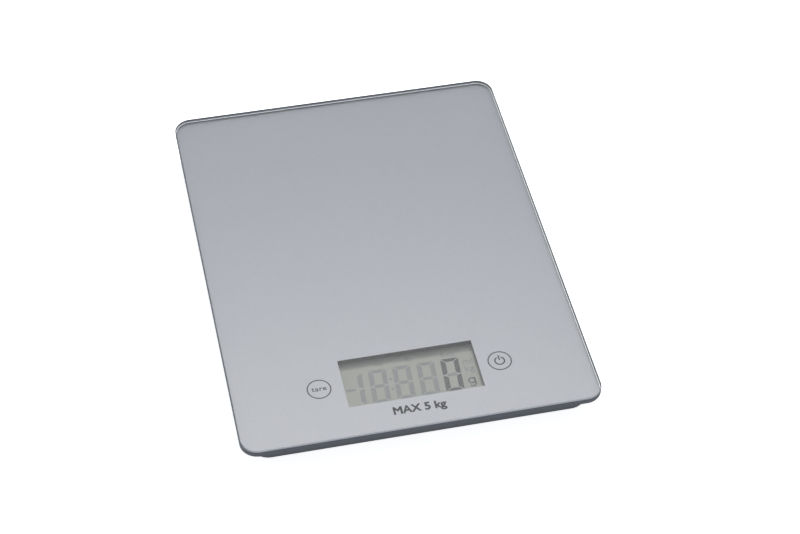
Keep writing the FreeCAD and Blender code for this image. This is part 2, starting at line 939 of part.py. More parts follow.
def foot_pad(sx, sy):
    """The soft pad that grips the table, with a round lower edge."""
    pad = post(sx * foot_x, sy * foot_y, 0, foot_pad_thickness, foot_pad_radius)
    return pad.makeFillet(foot_edge_round, edges_at(pad, 0))


def sensor_leads(sx, sy):
    """Three thin wires from one strain gauge to the circuit board."""
    made = []
    landing = board_top + lead_wire_radius
    for k in (-1, 0, 1):
        shift = k * lead_wire_pitch
        x = foot_x + shift
        start_y = gauge_y(sy) - sy * (gauge_length / 2 + lead_start_gap)
        if sy > 0:
            lane_x = board_width / 2 - lead_lane_inset + shift
            route = [
                (x, start_y, lead_level),
                (x, foot_y - carrier_side / 2 - lead_bend, lead_level),
                (lane_x, bay_centre_y, lead_level),
                (lane_x, board_back + lead_bend, lead_level),
                (lane_x, board_back - lead_drop_run, landing),
                (lane_x, board_back - lead_drop_run - lead_landing, landing),
            ]
        else:
            turn_y = front_lead_y + shift
            edge_x = board_width / 2
            route = [
                (x, start_y, lead_level),
                (x, turn_y, lead_level),
                (edge_x + lead_drop_run, turn_y, lead_level),
                (edge_x - lead_drop_run, turn_y, landing),
                (edge_x - lead_drop_run - lead_landing, turn_y, landing),
            ]
        made.append(tube([(sx * px, py, pz) for px, py, pz in route], lead_wire_radius))
    return made


# ---------------------------------------------------------------- battery bay
def coin_cell():
    """A coin cell with its can facing the door and its smaller cap facing the roof."""
    step = coin_top - coin_cap_height
    can = post(0, coin_y, coin_bottom, step, coin_radius)
    can = can.makeFillet(coin_edge_round, edges_at(can, coin_bottom))
    return can.fuse(post(0, coin_y, step, coin_top, coin_radius - coin_cap_margin))


def battery_contact_negative():
    """A leaf from the bay's roof that bends down to the coin cell's cap."""
    half = contact_thickness / 2
    level, touch = contact_bottom + half, coin_top + half
    fold = [
        (contact_tab_end, level),
        (coin_y - contact_leaf_reach, level),
        (coin_y, touch),
        (coin_y + contact_leaf_tail, touch + contact_leaf_lift),
    ]
    reach = contact_width / 2
    return bent_strip(fold, contact_thickness, negative_tab_x - reach, negative_tab_x + reach)


def battery_contact_positive():
    """A strip along the roof with a blade that touches the coin cell's rim."""
    half = contact_width / 2
    strip = box(
        positive_tab_x - half,
        positive_tab_x + half,
        contact_tab_end,
        coin_y + contact_blade_reach,
        contact_bottom,
        bay_roof_under,
    )
    blade_face = -coin_radius - contact_blade_gap
    blade_bottom = coin_bottom + contact_blade_lift
    near, far = coin_y - contact_blade_reach, coin_y + contact_blade_reach
    bridge = box(positive_tab_x, blade_face, near, far, contact_bottom, bay_roof_under)
    blade = box(
        blade_face - contact_thickness, blade_face, near, far, blade_bottom, contact_bottom
    )
    return strip.fuse(bridge).fuse(blade)


def battery_leads():
    """Two wires from the battery contacts' tabs to the back edge of the board."""
    landing = board_top + lead_wire_radius
    level = (contact_bottom + bay_roof_under) / 2
    made = []
    for tab_x, lane_x in ((negative_tab_x, battery_lane), (positive_tab_x, -battery_lane)):
        route = [
            (tab_x, contact_tab_end, level),
            (tab_x, contact_tab_end - lead_bend, level),
            (lane_x, board_back + 2 * lead_bend, level),
            (lane_x, board_back + lead_bend, level),
            (lane_x, board_back - lead_drop_run, landing),
            (lane_x, board_back - lead_drop_run - lead_landing, landing),
        ]
        made.append(tube(route, lead_wire_radius))
    return made


def battery_door():
    """The door: a flush plate with pads under the coin cell, a hinge barrel and two pins."""
    half = door_width / 2
    front, back = bay_front + door_gap, bay_back - door_gap
    plate = box(-half, half, front, hinge_y, cover_bottom, cover_floor)
    barrel = rod_x(-half, half, hinge_y, hinge_z, door_barrel_radius)
    pin_end = half + door_pin_length
    pins = rod_x(-pin_end, pin_end, hinge_y, hinge_z, door_pin_radius)
    door = plate.fuse(barrel).fuse(pins)
    for side in (-1, 1):
        x = side * door_pad_offset
        pad = box(
            x - door_pad_width / 2,
            x + door_pad_width / 2,
            coin_y - door_pad_reach,
            coin_y + door_pad_reach,
            cover_floor,
            cover_floor + door_pad_thickness,
        )
        door = door.fuse(pad)
    half_notch = latch_width / 2 + latch_side_gap
    notch_back = front + latch_leaf + latch_notch_gap
    notch = box(-half_notch, half_notch, front - cut_past, notch_back, cover_bottom, cover_floor + cut_past)
    return door.cut(notch)


def battery_door_latch():
    """The door's springy U: one leg stands on the door and the other ends in a catch and grip."""
    front = bay_front + door_gap + latch_set_back
    top = cover_floor + latch_height
    leg_back = front + latch_reach
    grip_bottom = cover_bottom + latch_grip_recess
    catch_bottom = cover_floor + latch_catch_gap
    catch_top = latch_slot_top - latch_catch_gap
    outline = [
        (front, grip_bottom),
        (front, catch_bottom),
        (front - latch_catch, catch_bottom + latch_catch / 2),
        (front - latch_catch, catch_top),
        (front, catch_top),
        (front, top),
        (leg_back, top),
        (leg_back, cover_floor),
        (leg_back - latch_leaf, cover_floor),
        (leg_back - latch_leaf, top - latch_leaf),
        (front + latch_leaf, top - latch_leaf),
        (front + latch_leaf, grip_bottom),
    ]
    return strip_x(outline, -latch_width / 2, latch_width / 2)


# ---------------------------------------------------------------- unit button
def unit_button():
    """The soft cap that is pressed from below to change between grams and ounces."""
    bottom = cover_bottom + unit_button_recess
    cap = post(unit_button_x, unit_button_y, bottom, unit_cap_top, unit_button_radius)
    return cap.makeFillet(unit_cap_round, edges_at(cap, bottom))


def unit_key_web():
    """The cap's thin skirt and the rim that is clamped between the cover and the board."""
    x, y = unit_button_x, unit_button_y
    rim_inner = unit_flange_radius - unit_flange_width
    rim = post(x, y, cover_floor, board_bottom, unit_flange_radius)
    rim = rim.cut(post(x, y, cover_floor - cut_past, board_bottom + cut_past, rim_inner))
    web = post(x, y, unit_cap_top - unit_web_thickness, unit_cap_top, rim_inner)
    return rim.fuse(web).cut(post(x, y, cover_floor, board_bottom, unit_button_radius))


def unit_contact_pill():
    """The carbon disc that joins two pads under the board when the cap is pressed."""
    top = unit_cap_top + unit_pill_thickness
    return post(unit_button_x, unit_button_y, unit_cap_top, top, unit_pill_radius)


# ---------------------------------------------------------------- the whole scale
def save_all():
    save("glass_platform", glass_platform())
    save("back_print", back_print())
    save("platform_tape", platform_tape())
    save("window_tape", window_tape())
    save("upper_tray", upper_tray())
    save("lower_cover", lower_cover())
    save("cover_screws", *cover_screws())
    save("rating_label", rating_label())

    save("display_bezel", display_bezel())
    save("lcd_front_polariser", lcd_layer(film_margin, film_margin, lcd_face - lcd_film, lcd_face))
    save("lcd_upper_glass", lcd_layer(0, 0, lcd_upper_bottom, lcd_face - lcd_film))
    save("lcd_lower_glass", lcd_layer(0, lcd_ledge, lcd_lower_bottom, lcd_upper_bottom))
    reflector_bottom = lcd_lower_bottom - lcd_film
    save(
        "lcd_reflector",
        lcd_layer(film_margin, lcd_ledge + film_margin, reflector_bottom, lcd_lower_bottom),
    )
    save("zebra_strips", *zebra_strips())

    save("circuit_board", circuit_board())
    save("controller_chip", controller_chip())
    save("board_crystal", board_crystal())
    capacitors = chip_row(
        capacitor_count, capacitor_first_x, capacitor_pitch, component_row_y, capacitor_size
    )
    save("board_capacitors", *capacitors)
    resistors = chip_row(
        resistor_count, resistor_first_x, resistor_pitch, resistor_row_y, resistor_size
    )
    save("board_resistors", *resistors)
    save("board_screws", *board_screws())
    save("touch_spring_tare", touch_spring(-1))
    save("touch_spring_power", touch_spring(1))

    for corner, (sx, sy) in corners.items():
        save(f"load_cell_{corner}", load_cell(sx, sy))
        save(f"strain_gauge_{corner}", strain_gauge(sx, sy))
        save(f"sensor_carrier_{corner}", sensor_carrier(sx, sy))
        save(f"foot_{corner}", foot(sx, sy))
        save(f"foot_pad_{corner}", foot_pad(sx, sy))
        save(f"sensor_leads_{corner}", *sensor_leads(sx, sy))

    save("coin_cell", coin_cell())
    save("battery_contact_positive", battery_contact_positive())
    save("battery_contact_negative", battery_contact_negative())
    save("battery_leads", *battery_leads())
    save("battery_door", battery_door())
    save("battery_door_latch", battery_door_latch())
    save("unit_button", unit_button())
    save("unit_key_web", unit_key_web())
    save("unit_contact_pill", unit_contact_pill())


os.makedirs("parts", exist_ok=True)
save_all()
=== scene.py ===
# %% [markdown]
# # A slim glass kitchen scale, dressed for its picture
# The shape of every solid part comes ready made as a fixed frame. This lesson gives each part
# its finish, adds the printed and moulded marks that are too thin to be parts, and lights it.
# Everything is in metres, and the origin is on the table under the middle of the scale.
# +X is the user's right, and the display is at the user's side, towards -Y.

import json
import math

import bmesh
import bpy
from mathutils import Matrix, Vector


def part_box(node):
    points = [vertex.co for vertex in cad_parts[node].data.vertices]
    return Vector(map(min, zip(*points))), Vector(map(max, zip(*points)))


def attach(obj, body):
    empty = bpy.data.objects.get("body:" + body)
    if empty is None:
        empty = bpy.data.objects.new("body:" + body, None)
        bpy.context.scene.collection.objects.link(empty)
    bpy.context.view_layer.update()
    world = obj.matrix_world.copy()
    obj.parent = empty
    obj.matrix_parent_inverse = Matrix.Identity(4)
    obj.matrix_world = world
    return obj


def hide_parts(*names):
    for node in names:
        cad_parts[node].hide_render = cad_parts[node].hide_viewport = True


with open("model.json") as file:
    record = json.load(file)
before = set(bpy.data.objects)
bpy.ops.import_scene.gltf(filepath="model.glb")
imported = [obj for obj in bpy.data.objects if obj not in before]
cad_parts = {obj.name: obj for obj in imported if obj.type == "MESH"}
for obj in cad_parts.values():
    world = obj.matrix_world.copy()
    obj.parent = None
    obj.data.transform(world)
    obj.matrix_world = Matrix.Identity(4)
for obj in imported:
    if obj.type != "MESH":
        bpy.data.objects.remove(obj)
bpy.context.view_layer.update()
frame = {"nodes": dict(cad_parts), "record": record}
nodes = frame["nodes"]
MM = 0.001

# %% [markdown]
# Places are read from the parts themselves, so a change of the scale's size carries through.
# A part's box gives its lowest and highest corner. The sizes of the printed marks can't be read
# from any part, so they stand as named values in the cells that draw them.

# %% Read the places that the print and the marks hang on
glass_low, glass_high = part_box("glass_platform")
print_low, print_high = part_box("back_print")
film_low, film_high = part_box("lcd_front_polariser")
label_low, label_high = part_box("rating_label")
door_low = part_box("battery_door")[0]
cover_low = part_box("lower_cover")[0]
button_low, button_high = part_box("unit_button")
cell_low, cell_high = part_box("coin_cell")
tare_low, tare_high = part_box("touch_spring_tare")
power_low, power_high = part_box("touch_spring_power")
foot_low, foot_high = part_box("foot_pad_rear_right")


def middle(low, high):
    return (low + high) / 2


print("glass top at", round(glass_high.z / MM, 2), "mm, display face at", round(film_high.z / MM, 2))

# %% [markdown]
# The camera stands to the user's left of the scale and looks down at it from nearly half-way
# up the sky. A long lens keeps the platform's sides nearly parallel. The place could be typed
# in as three coordinates, but an aim point, two angles and a distance say what the view is.

# %% Set up the camera
camera_aim = Vector((9.64, -14.57, 16.0)) * MM
camera_azimuth = math.radians(-12.87)
camera_elevation = math.radians(46.57)
camera_distance = 1052.68 * MM
camera_roll = math.radians(0.889)
lens_length = 91.57
sensor_width = 36.0

towards_camera = Vector((
    math.sin(camera_azimuth) * math.cos(camera_elevation),
    -math.cos(camera_azimuth) * math.cos(camera_elevation),
    math.sin(camera_elevation),
))
camera_data = bpy.data.cameras.new("camera")
camera_data.lens = lens_length
camera_data.sensor_width = sensor_width
camera = bpy.data.objects.new("camera", camera_data)
bpy.context.scene.collection.objects.link(camera)
level = towards_camera.to_track_quat("Z", "Y").to_matrix()
turned = level @ Matrix.Rotation(camera_roll, 3, "Z")
camera.matrix_world = Matrix.Translation(camera_aim + towards_camera * camera_distance) @ turned.to_4x4()
bpy.context.scene.camera = camera
print("camera at", [round(v / MM, 1) for v in camera.matrix_world.translation])

# %% [markdown]
# The satin print mirrors the sky as a slow change, from light at the user's side to darker at
# the back. So the sky has one wide soft glow, high behind the scale and a little to its right,
# and the camera sees the slope of that glow in the print. A ready-made sky would do the same
# with less control. Rays that go straight from the camera to the sky find plain white.

# %% Make the sky
glow_azimuth = math.radians(12.87)
glow_elevation = math.radians(70.0)
glow_direction = (
    math.sin(glow_azimuth) * math.cos(glow_elevation),
    math.cos(glow_azimuth) * math.cos(glow_elevation),
    math.sin(glow_elevation),
)
sky_stops = [
    (0.00, (0.40, 0.41, 0.43)),
    (0.84, (0.24, 0.27, 0.32)),
    (0.89, (0.37, 0.41, 0.48)),
    (0.955, (1.55, 1.535, 1.54)),
    (1.00, (1.75, 1.75, 1.75)),
]
world = bpy.data.worlds.new("studio_sky")
bpy.context.scene.world = world
world.use_nodes = True
sky = world.node_tree
sky.nodes.clear()
sky_output = sky.nodes.new("ShaderNodeOutputWorld")
sky_place = sky.nodes.new("ShaderNodeTexCoord")
sky_nearness = sky.nodes.new("ShaderNodeVectorMath")
sky_nearness.operation = "DOT_PRODUCT"
sky_nearness.inputs[1].default_value = glow_direction
sky_ramp = sky.nodes.new("ShaderNodeValToRGB")
sky_ramp.color_ramp.interpolation = "EASE"
sky_light = sky.nodes.new("ShaderNodeBackground")
sky_backdrop = sky.nodes.new("ShaderNodeBackground")
sky_rays = sky.nodes.new("ShaderNodeLightPath")
sky_mix = sky.nodes.new("ShaderNodeMixShader")
while len(sky_ramp.color_ramp.elements) < len(sky_stops):
    sky_ramp.color_ramp.elements.new(1.0)
for stop, (place, colour) in zip(sky_ramp.color_ramp.elements, sky_stops):
    stop.position = place
    stop.color = (*colour, 1.0)
sky_light.inputs["Strength"].default_value = 1.0
sky_backdrop.inputs["Color"].default_value = (1.0, 1.0, 1.0, 1.0)
sky.links.new(sky_place.outputs["Generated"], sky_nearness.inputs[0])
sky.links.new(sky_nearness.outputs["Value"], sky_ramp.inputs["Fac"])
sky.links.new(sky_ramp.outputs["Color"], sky_light.inputs["Color"])
sky.links.new(sky_rays.outputs["Is Camera Ray"], sky_mix.inputs["Fac"])
sky.links.new(sky_light.outputs["Background"], sky_mix.inputs[1])
sky.links.new(sky_backdrop.outputs["Background"], sky_mix.inputs[2])
sky.links.new(sky_mix.outputs["Shader"], sky_output.inputs["Surface"])
bpy.context.scene.view_settings.view_transform = "Standard"
print("glow towards", [round(v, 2) for v in glow_direction])

# %% [markdown]
# One soft light stands behind the scale, less than half-way up. It throws the shadow of
# the window's far edge onto the display, as a real softbox does, and its edge is kept out of the
# mirror of the glass, where it would draw a hard line across the platform.

# %% Hang the softbox
softbox_width = 0.45
softbox_height = 0.28
softbox_watts = 16.0
softbox_place = (0.12, 1.10, 0.95)
softbox_data = bpy.data.lights.new("softbox", "AREA")
softbox_data.shape = "RECTANGLE"
softbox_data.size = softbox_width
softbox_data.size_y = softbox_height
softbox_data.energy = softbox_watts
softbox = bpy.data.objects.new("softbox", softbox_data)
bpy.context.scene.collection.objects.link(softbox)
softbox.location = softbox_place
softbox.rotation_euler = (-softbox.location).to_track_quat("-Z", "Y").to_euler()
softbox.visible_glossy = False
softbox.visible_transmission = False
print("softbox", round(softbox.location.length, 2), "m away")

# %% [markdown]
# The floor is a light table: a pale sheet that is also lit from beneath, which is how a shadow
# is kept faint in a studio. It shows only from above. Seen from below it lets the view through,
# so that the underside can be looked at as if the scale stood on clear glass. It also stays out
# of the light that reaches the scale, which the sky below it already gives.

# %% Lay the floor
floor_reach = 30.0
floor_grey = 0.93
floor_glow = 0.82
floor_corners = [(sx * floor_reach, sy * floor_reach, 0) for sx, sy in ((-1, -1), (1, -1), (1, 1), (-1, 1))]
floor_mesh = bpy.data.meshes.new("floor")
floor_mesh.from_pydata(floor_corners, [], [(0, 1, 2, 3)])
floor = bpy.data.objects.new("floor", floor_mesh)
bpy.context.scene.collection.objects.link(floor)
floor_finish = bpy.data.materials.new("pale_floor")
floor_finish.use_nodes = True
floor_tree = floor_finish.node_tree
floor_shader = floor_tree.nodes["Principled BSDF"]
floor_shader.inputs["Base Color"].default_value = (floor_grey, floor_grey, floor_grey, 1.0)
floor_shader.inputs["Roughness"].default_value = 0.9
floor_shader.inputs["Emission Color"].default_value = (1.0, 1.0, 1.0, 1.0)
floor_shader.inputs["Emission Strength"].default_value = floor_glow
floor_shader.inputs["Specular IOR Level"].default_value = 0.1
floor_side = floor_tree.nodes.new("ShaderNodeNewGeometry")
floor_open = floor_tree.nodes.new("ShaderNodeBsdfTransparent")
floor_mix = floor_tree.nodes.new("ShaderNodeMixShader")
floor_tree.links.new(floor_side.outputs["Backfacing"], floor_mix.inputs["Fac"])
floor_tree.links.new(floor_shader.outputs["BSDF"], floor_mix.inputs[1])
floor_tree.links.new(floor_open.outputs["BSDF"], floor_mix.inputs[2])
floor_tree.links.new(floor_mix.outputs["Shader"], floor_tree.nodes["Material Output"].inputs["Surface"])
floor_mesh.materials.append(floor_finish)
floor.visible_shadow = False
floor.visible_diffuse = False
floor.visible_glossy = False
print("floor", 2 * floor_reach, "m wide")

# %% [markdown]
# Real surfaces are never one even colour. Three small texture recipes are shared by most of the
# finishes below, so each is built once as a node group: the fine speckle of moulded plastic, ink
# and rubber, the long scratches of rolled metal, and the wide soft smudges of handling. Each one
# only puts out a mask. What the mask does is decided in the material that uses it.

# %% A helper that starts a node group
def start_group(name, inputs, outputs):
    group = bpy.data.node_groups.new(name, "ShaderNodeTree")
    for label, kind, value in inputs:
        socket = group.interface.new_socket(label, in_out="INPUT", socket_type=kind)
        if value is not None:
            socket.default_value = value
    for label, kind in outputs:
        group.interface.new_socket(label, in_out="OUTPUT", socket_type=kind)
    return group, group.nodes.new("NodeGroupInput"), group.nodes.new("NodeGroupOutput")


def math_node(tree, operation, first, second):
    """One sum on two sockets or numbers."""
    node = tree.nodes.new("ShaderNodeMath")
    node.operation = operation
    for k, value in enumerate((first, second)):
        if isinstance(value, bpy.types.NodeSocket):
            tree.links.new(value, node.inputs[k])
        else:
            node.inputs[k].default_value = value
    return node.outputs[0]


def spread_mask(tree, value, low, high):
    """Stretches the middle of a noise to a mask from 0 to 1."""
    node = tree.nodes.new("ShaderNodeMapRange")
    node.inputs["From Min"].default_value = low
    node.inputs["From Max"].default_value = high
    tree.links.new(value, node.inputs["Value"])
    return node.outputs["Result"]


# %% [markdown]
# The speckle is a noise whose grain has a real size. The size goes in as metres, and one over
# that size is the noise's scale, because a noise of scale 1 has grains about one metre wide.

# %% Build the speckle
speckle, group_in, group_out = start_group(
    "speckle",
    [("Vector", "NodeSocketVector", None), ("Grain", "NodeSocketFloat", 0.0005)],
    [("Mask", "NodeSocketFloat")],
)
speckle_scale = math_node(speckle, "DIVIDE", 1.0, group_in.outputs["Grain"])
speckle_noise = speckle.nodes.new("ShaderNodeTexNoise")
speckle_noise.inputs["Detail"].default_value = 3.0
speckle_noise.inputs["Roughness"].default_value = 0.65
speckle.links.new(group_in.outputs["Vector"], speckle_noise.inputs["Vector"])
speckle.links.new(speckle_scale, speckle_noise.inputs["Scale"])
speckle.links.new(spread_mask(speckle, speckle_noise.outputs["Fac"], 0.3, 0.7), group_out.inputs["Mask"])
print("speckle nodes:", len(speckle.nodes))

# %% [markdown]
# Rolled and brushed sheet has marks that are long one way and fine the other. The same noise
# does this once the space it is read in is squeezed along one direction.

# %% Build the scratches
scratches, group_in, group_out = start_group(
    "scratches",
    [
        ("Vector", "NodeSocketVector", None),
        ("Length", "NodeSocketFloat", 0.01),
        ("Width", "NodeSocketFloat", 0.0001),
    ],
    [("Mask", "NodeSocketFloat")],
)
squeeze = scratches.nodes.new("ShaderNodeVectorMath")
squeeze.operation = "DIVIDE"
sizes = scratches.nodes.new("ShaderNodeCombineXYZ")
scratches.links.new(group_in.outputs["Width"], sizes.inputs["X"])
scratches.links.new(group_in.outputs["Length"], sizes.inputs["Y"])
scratches.links.new(group_in.outputs["Width"], sizes.inputs["Z"])
scratches.links.new(group_in.outputs["Vector"], squeeze.inputs[0])
scratches.links.new(sizes.outputs["Vector"], squeeze.inputs[1])
scratch_noise = scratches.nodes.new("ShaderNodeTexNoise")
scratch_noise.inputs["Scale"].default_value = 1.0
scratch_noise.inputs["Detail"].default_value = 2.0
scratches.links.new(squeeze.outputs["Vector"], scratch_noise.inputs["Vector"])
scratch_mask = spread_mask(scratches, scratch_noise.outputs["Fac"], 0.35, 0.65)
scratches.links.new(scratch_mask, group_out.inputs["Mask"])
print("scratches nodes:", len(scratches.nodes))

# %% [markdown]
# Hands leave wide, soft patches that shine a little more or less. The patches are a coarse noise
# that is bent by a second one, so that they don't read as round clouds.

# %% Build the smudges
smudges, group_in, group_out = start_group(
    "smudges",
    [("Vector", "NodeSocketVector", None), ("Patch", "NodeSocketFloat", 0.03)],
    [("Mask", "NodeSocketFloat")],
)
smudge_scale = math_node(smudges, "DIVIDE", 1.0, group_in.outputs["Patch"])
smudge_noise = smudges.nodes.new("ShaderNodeTexNoise")
smudge_noise.inputs["Detail"].default_value = 2.0
smudge_noise.inputs["Distortion"].default_value = 1.2
smudges.links.new(group_in.outputs["Vector"], smudge_noise.inputs["Vector"])
smudges.links.new(smudge_scale, smudge_noise.inputs["Scale"])
smudges.links.new(spread_mask(smudges, smudge_noise.outputs["Fac"], 0.35, 0.7), group_out.inputs["Mask"])
print("smudges nodes:", len(smudges.nodes))


# %% [markdown]
# Most finishes here differ only in colour, gloss, grain size and depth. One helper lays the
# nodes out for all of them: two close colours mixed by the grain, a roughness that the smudges
# move up and down, and a bump from the grain. Plain numbers go straight on the shader.

# %% A helper that lays out a finish
def grade(tree, mask, low, high):
    """A number that runs from low to high with the mask."""
    node = tree.nodes.new("ShaderNodeMapRange")
    node.inputs["To Min"].default_value = low
    node.inputs["To Max"].default_value = high
    tree.links.new(mask, node.inputs["Value"])
    return node.outputs["Result"]


def blend_colours(tree, mask, first, second):
    """The first colour where the mask is 0, and the second where it is 1."""
    node = tree.nodes.new("ShaderNodeMix")
    node.data_type = "RGBA"
    tree.links.new(mask, node.inputs["Factor"])
    for socket, colour in ((node.inputs[6], first), (node.inputs[7], second)):
        if isinstance(colour, bpy.types.NodeSocket):
            tree.links.new(colour, socket)
        else:
            socket.default_value = (*colour, 1.0)
    return node.outputs[2]


def use_group(tree, group, vector, **values):
    node = tree.nodes.new("ShaderNodeGroup")
    node.node_tree = group
    tree.links.new(vector, node.inputs["Vector"])
    for label, value in values.items():
        node.inputs[label].default_value = value
    return node.outputs["Mask"]


def bump_from(tree, mask, shader, depth):
    """Raises the surface by a depth in metres where the mask is 1."""
    bump = tree.nodes.new("ShaderNodeBump")
    bump.inputs["Distance"].default_value = depth
    bump.inputs["Strength"].default_value = 1.0
    tree.links.new(mask, bump.inputs["Height"])
    tree.links.new(bump.outputs["Normal"], shader.inputs["Normal"])


def new_finish(name, **fixed):
    """A material with its place-in-metres vector and its shader, whose plain sockets are set."""
    material = bpy.data.materials.new(name)
    material.use_nodes = True
    tree = material.node_tree
    shader = tree.nodes["Principled BSDF"]
    for label, value in fixed.items():
        shader.inputs[label.replace("_", " ")].default_value = value
    place = tree.nodes.new("ShaderNodeTexCoord").outputs["Object"]
    return material, tree, shader, place


handled_patch = 0.03
scratch_stretch = 60


def grained_finish(name, dark, light, grain, depth, roughness, group=speckle, **fixed):
    """Two colours and a bump from one grain, and a roughness that the smudges move."""
    material, tree, shader, place = new_finish(name, **fixed)
    sizes = {"Grain": grain} if group is speckle else {"Length": grain * scratch_stretch, "Width": grain}
    mask = use_group(tree, group, place, **sizes)
    wear = use_group(tree, smudges, place, Patch=handled_patch)
    tree.links.new(blend_colours(tree, mask, dark, light), shader.inputs["Base Color"])
    tree.links.new(grade(tree, wear, *roughness), shader.inputs["Roughness"])
    bump_from(tree, mask, shader, depth)
    return material


finishes = {}

# %% [markdown]
# ## The housing
# The tray and the cover are injection-moulded in slate grey. The steel mould is eroded by
# sparks before use, and its fine pits come out as a dull grain of about a third of a millimetre.
# The inner carriers are plain white plastic from a smooth mould, and the display's frame is dark.

# %% Plastics
finishes["slate_plastic"] = grained_finish(
    "slate_plastic", (0.145, 0.160, 0.183), (0.18, 0.196, 0.222), 0.35 * MM, 0.02 * MM, (0.42, 0.55)
)
finishes["dark_plastic"] = grained_finish(
    "dark_plastic", (0.085, 0.085, 0.085), (0.11, 0.11, 0.108), 0.3 * MM, 0.01 * MM, (0.45, 0.6)
)
finishes["white_plastic"] = grained_finish(
    "white_plastic", (0.72, 0.72, 0.69), (0.78, 0.78, 0.76), 0.5 * MM, 0.005 * MM, (0.3, 0.42)
)
print("plastics ready")

# %% [markdown]
# ## The feet
# Each foot stands on a soft pad with pressed rings that grip the table. The rings could be cut
# into the part, but they are a tenth of a millimetre deep, so a bump is enough. All four pads
# share one finish: taking the size of x and y without their signs folds the four places onto one.

# %% Rubber of the pads
pad_middle = middle(foot_low, foot_high)
ring_pitch = 1.6 * MM
ring_depth = 0.12 * MM

material, tree, shader, place = new_finish("pad_rubber", Specular_IOR_Level=0.3)
fold = tree.nodes.new("ShaderNodeVectorMath")
fold.operation = "ABSOLUTE"
shift = tree.nodes.new("ShaderNodeVectorMath")
shift.operation = "SUBTRACT"
shift.inputs[1].default_value = (pad_middle.x, pad_middle.y, 0)
flatten = tree.nodes.new("ShaderNodeVectorMath")
flatten.operation = "MULTIPLY"
flatten.inputs[1].default_value = (1, 1, 0)
radius = tree.nodes.new("ShaderNodeVectorMath")
radius.operation = "LENGTH"
tree.links.new(place, fold.inputs[0])
tree.links.new(fold.outputs["Vector"], shift.inputs[0])
tree.links.new(shift.outputs["Vector"], flatten.inputs[0])
tree.links.new(flatten.outputs["Vector"], radius.inputs[0])
turns = math_node(tree, "MULTIPLY", radius.outputs["Value"], math.tau / ring_pitch)
waves = math_node(tree, "SINE", turns, 0.0)
rubber_grain = use_group(tree, speckle, place, Grain=0.25 * MM)
rubber_black = blend_colours(tree, rubber_grain, (0.050, 0.052, 0.056), (0.075, 0.078, 0.083))
tree.links.new(rubber_black, shader.inputs["Base Color"])
tree.links.new(grade(tree, rubber_grain, 0.65, 0.8), shader.inputs["Roughness"])
relief = math_node(tree, "ADD", waves, math_node(tree, "MULTIPLY", rubber_grain, 0.3))
bump_from(tree, relief, shader, ring_depth)
finishes["pad_rubber"] = material

finishes["button_rubber"] = grained_finish(
    "button_rubber", (0.045, 0.047, 0.050), (0.065, 0.067, 0.071), 0.3 * MM, 0.01 * MM, (0.6, 0.72)
)
finishes["lead_insulation"] = grained_finish(
    "lead_insulation", (0.42, 0.035, 0.03), (0.50, 0.05, 0.04), 0.4 * MM, 0.004 * MM, (0.35, 0.5)
)
finishes["foam_tape"] = grained_finish(
    "foam_tape", (0.60, 0.60, 0.58), (0.74, 0.74, 0.72), 0.12 * MM, 0.03 * MM, (0.8, 0.95)
)
print("pad rings every", ring_pitch / MM, "mm")

# %% [markdown]
# ## Metals
# The screws are zinc-plated, the load cells and contacts are rolled sheet, and the battery's can
# is drawn steel. Rolling leaves scratches along the strip, so these use the scratches group, and
# only their colour, gloss and scratch width differ.

# %% Steels
finishes["steel_screw"] = grained_finish(
    "steel_screw", (0.50, 0.50, 0.49), (0.62, 0.62, 0.60), 0.2 * MM, 0.006 * MM, (0.25, 0.4), Metallic=1.0
)
sheet_metals = {
    "load_cell_steel": ((0.52, 0.52, 0.51), (0.64, 0.64, 0.63), 0.12 * MM, (0.28, 0.42)),
    "spring_steel": ((0.58, 0.56, 0.51), (0.68, 0.66, 0.60), 0.08 * MM, (0.22, 0.34)),
    "contact_steel": ((0.66, 0.64, 0.60), (0.76, 0.74, 0.70), 0.08 * MM, (0.18, 0.3)),
    "cell_can": ((0.62, 0.62, 0.61), (0.72, 0.72, 0.71), 0.15 * MM, (0.2, 0.34)),
    "crystal_can": ((0.66, 0.66, 0.65), (0.76, 0.76, 0.75), 0.1 * MM, (0.18, 0.3)),
}
for name, (dark, light, width, gloss) in sheet_metals.items():
    finishes[name] = grained_finish(
        name, dark, light, width, 0.003 * MM, gloss, group=scratches, Metallic=1.0
    )
print("sheet metals:", len(sheet_metals))

# %% [markdown]
# ## Electronics
# The board is green solder mask over copper. The tracks stand a hair proud and look lighter, and
# a brick pattern with thin joints gives straight runs that turn at right angles, as tracks do.

# %% Circuit board
track_scale = 140.0
track_width = 0.03
material, tree, shader, place = new_finish("board_laminate", Coat_Weight=0.4, Coat_Roughness=0.15)
tracks = tree.nodes.new("ShaderNodeTexBrick")
tracks.inputs["Color1"].default_value = (0.0, 0.0, 0.0, 1.0)
tracks.inputs["Color2"].default_value = (0.0, 0.0, 0.0, 1.0)
tracks.inputs["Mortar"].default_value = (1.0, 1.0, 1.0, 1.0)
tracks.inputs["Scale"].default_value = track_scale
tracks.inputs["Mortar Size"].default_value = track_width
tree.links.new(place, tracks.inputs["Vector"])
weave = use_group(tree, speckle, place, Grain=0.4 * MM)
mask_green = blend_colours(tree, weave, (0.012, 0.085, 0.035), (0.02, 0.11, 0.045))
board_green = blend_colours(tree, tracks.outputs["Color"], mask_green, (0.04, 0.19, 0.07))
tree.links.new(board_green, shader.inputs["Base Color"])
tree.links.new(grade(tree, weave, 0.35, 0.5), shader.inputs["Roughness"])
bump_from(tree, tracks.outputs["Color"], shader, 0.03 * MM)
finishes["board_laminate"] = material

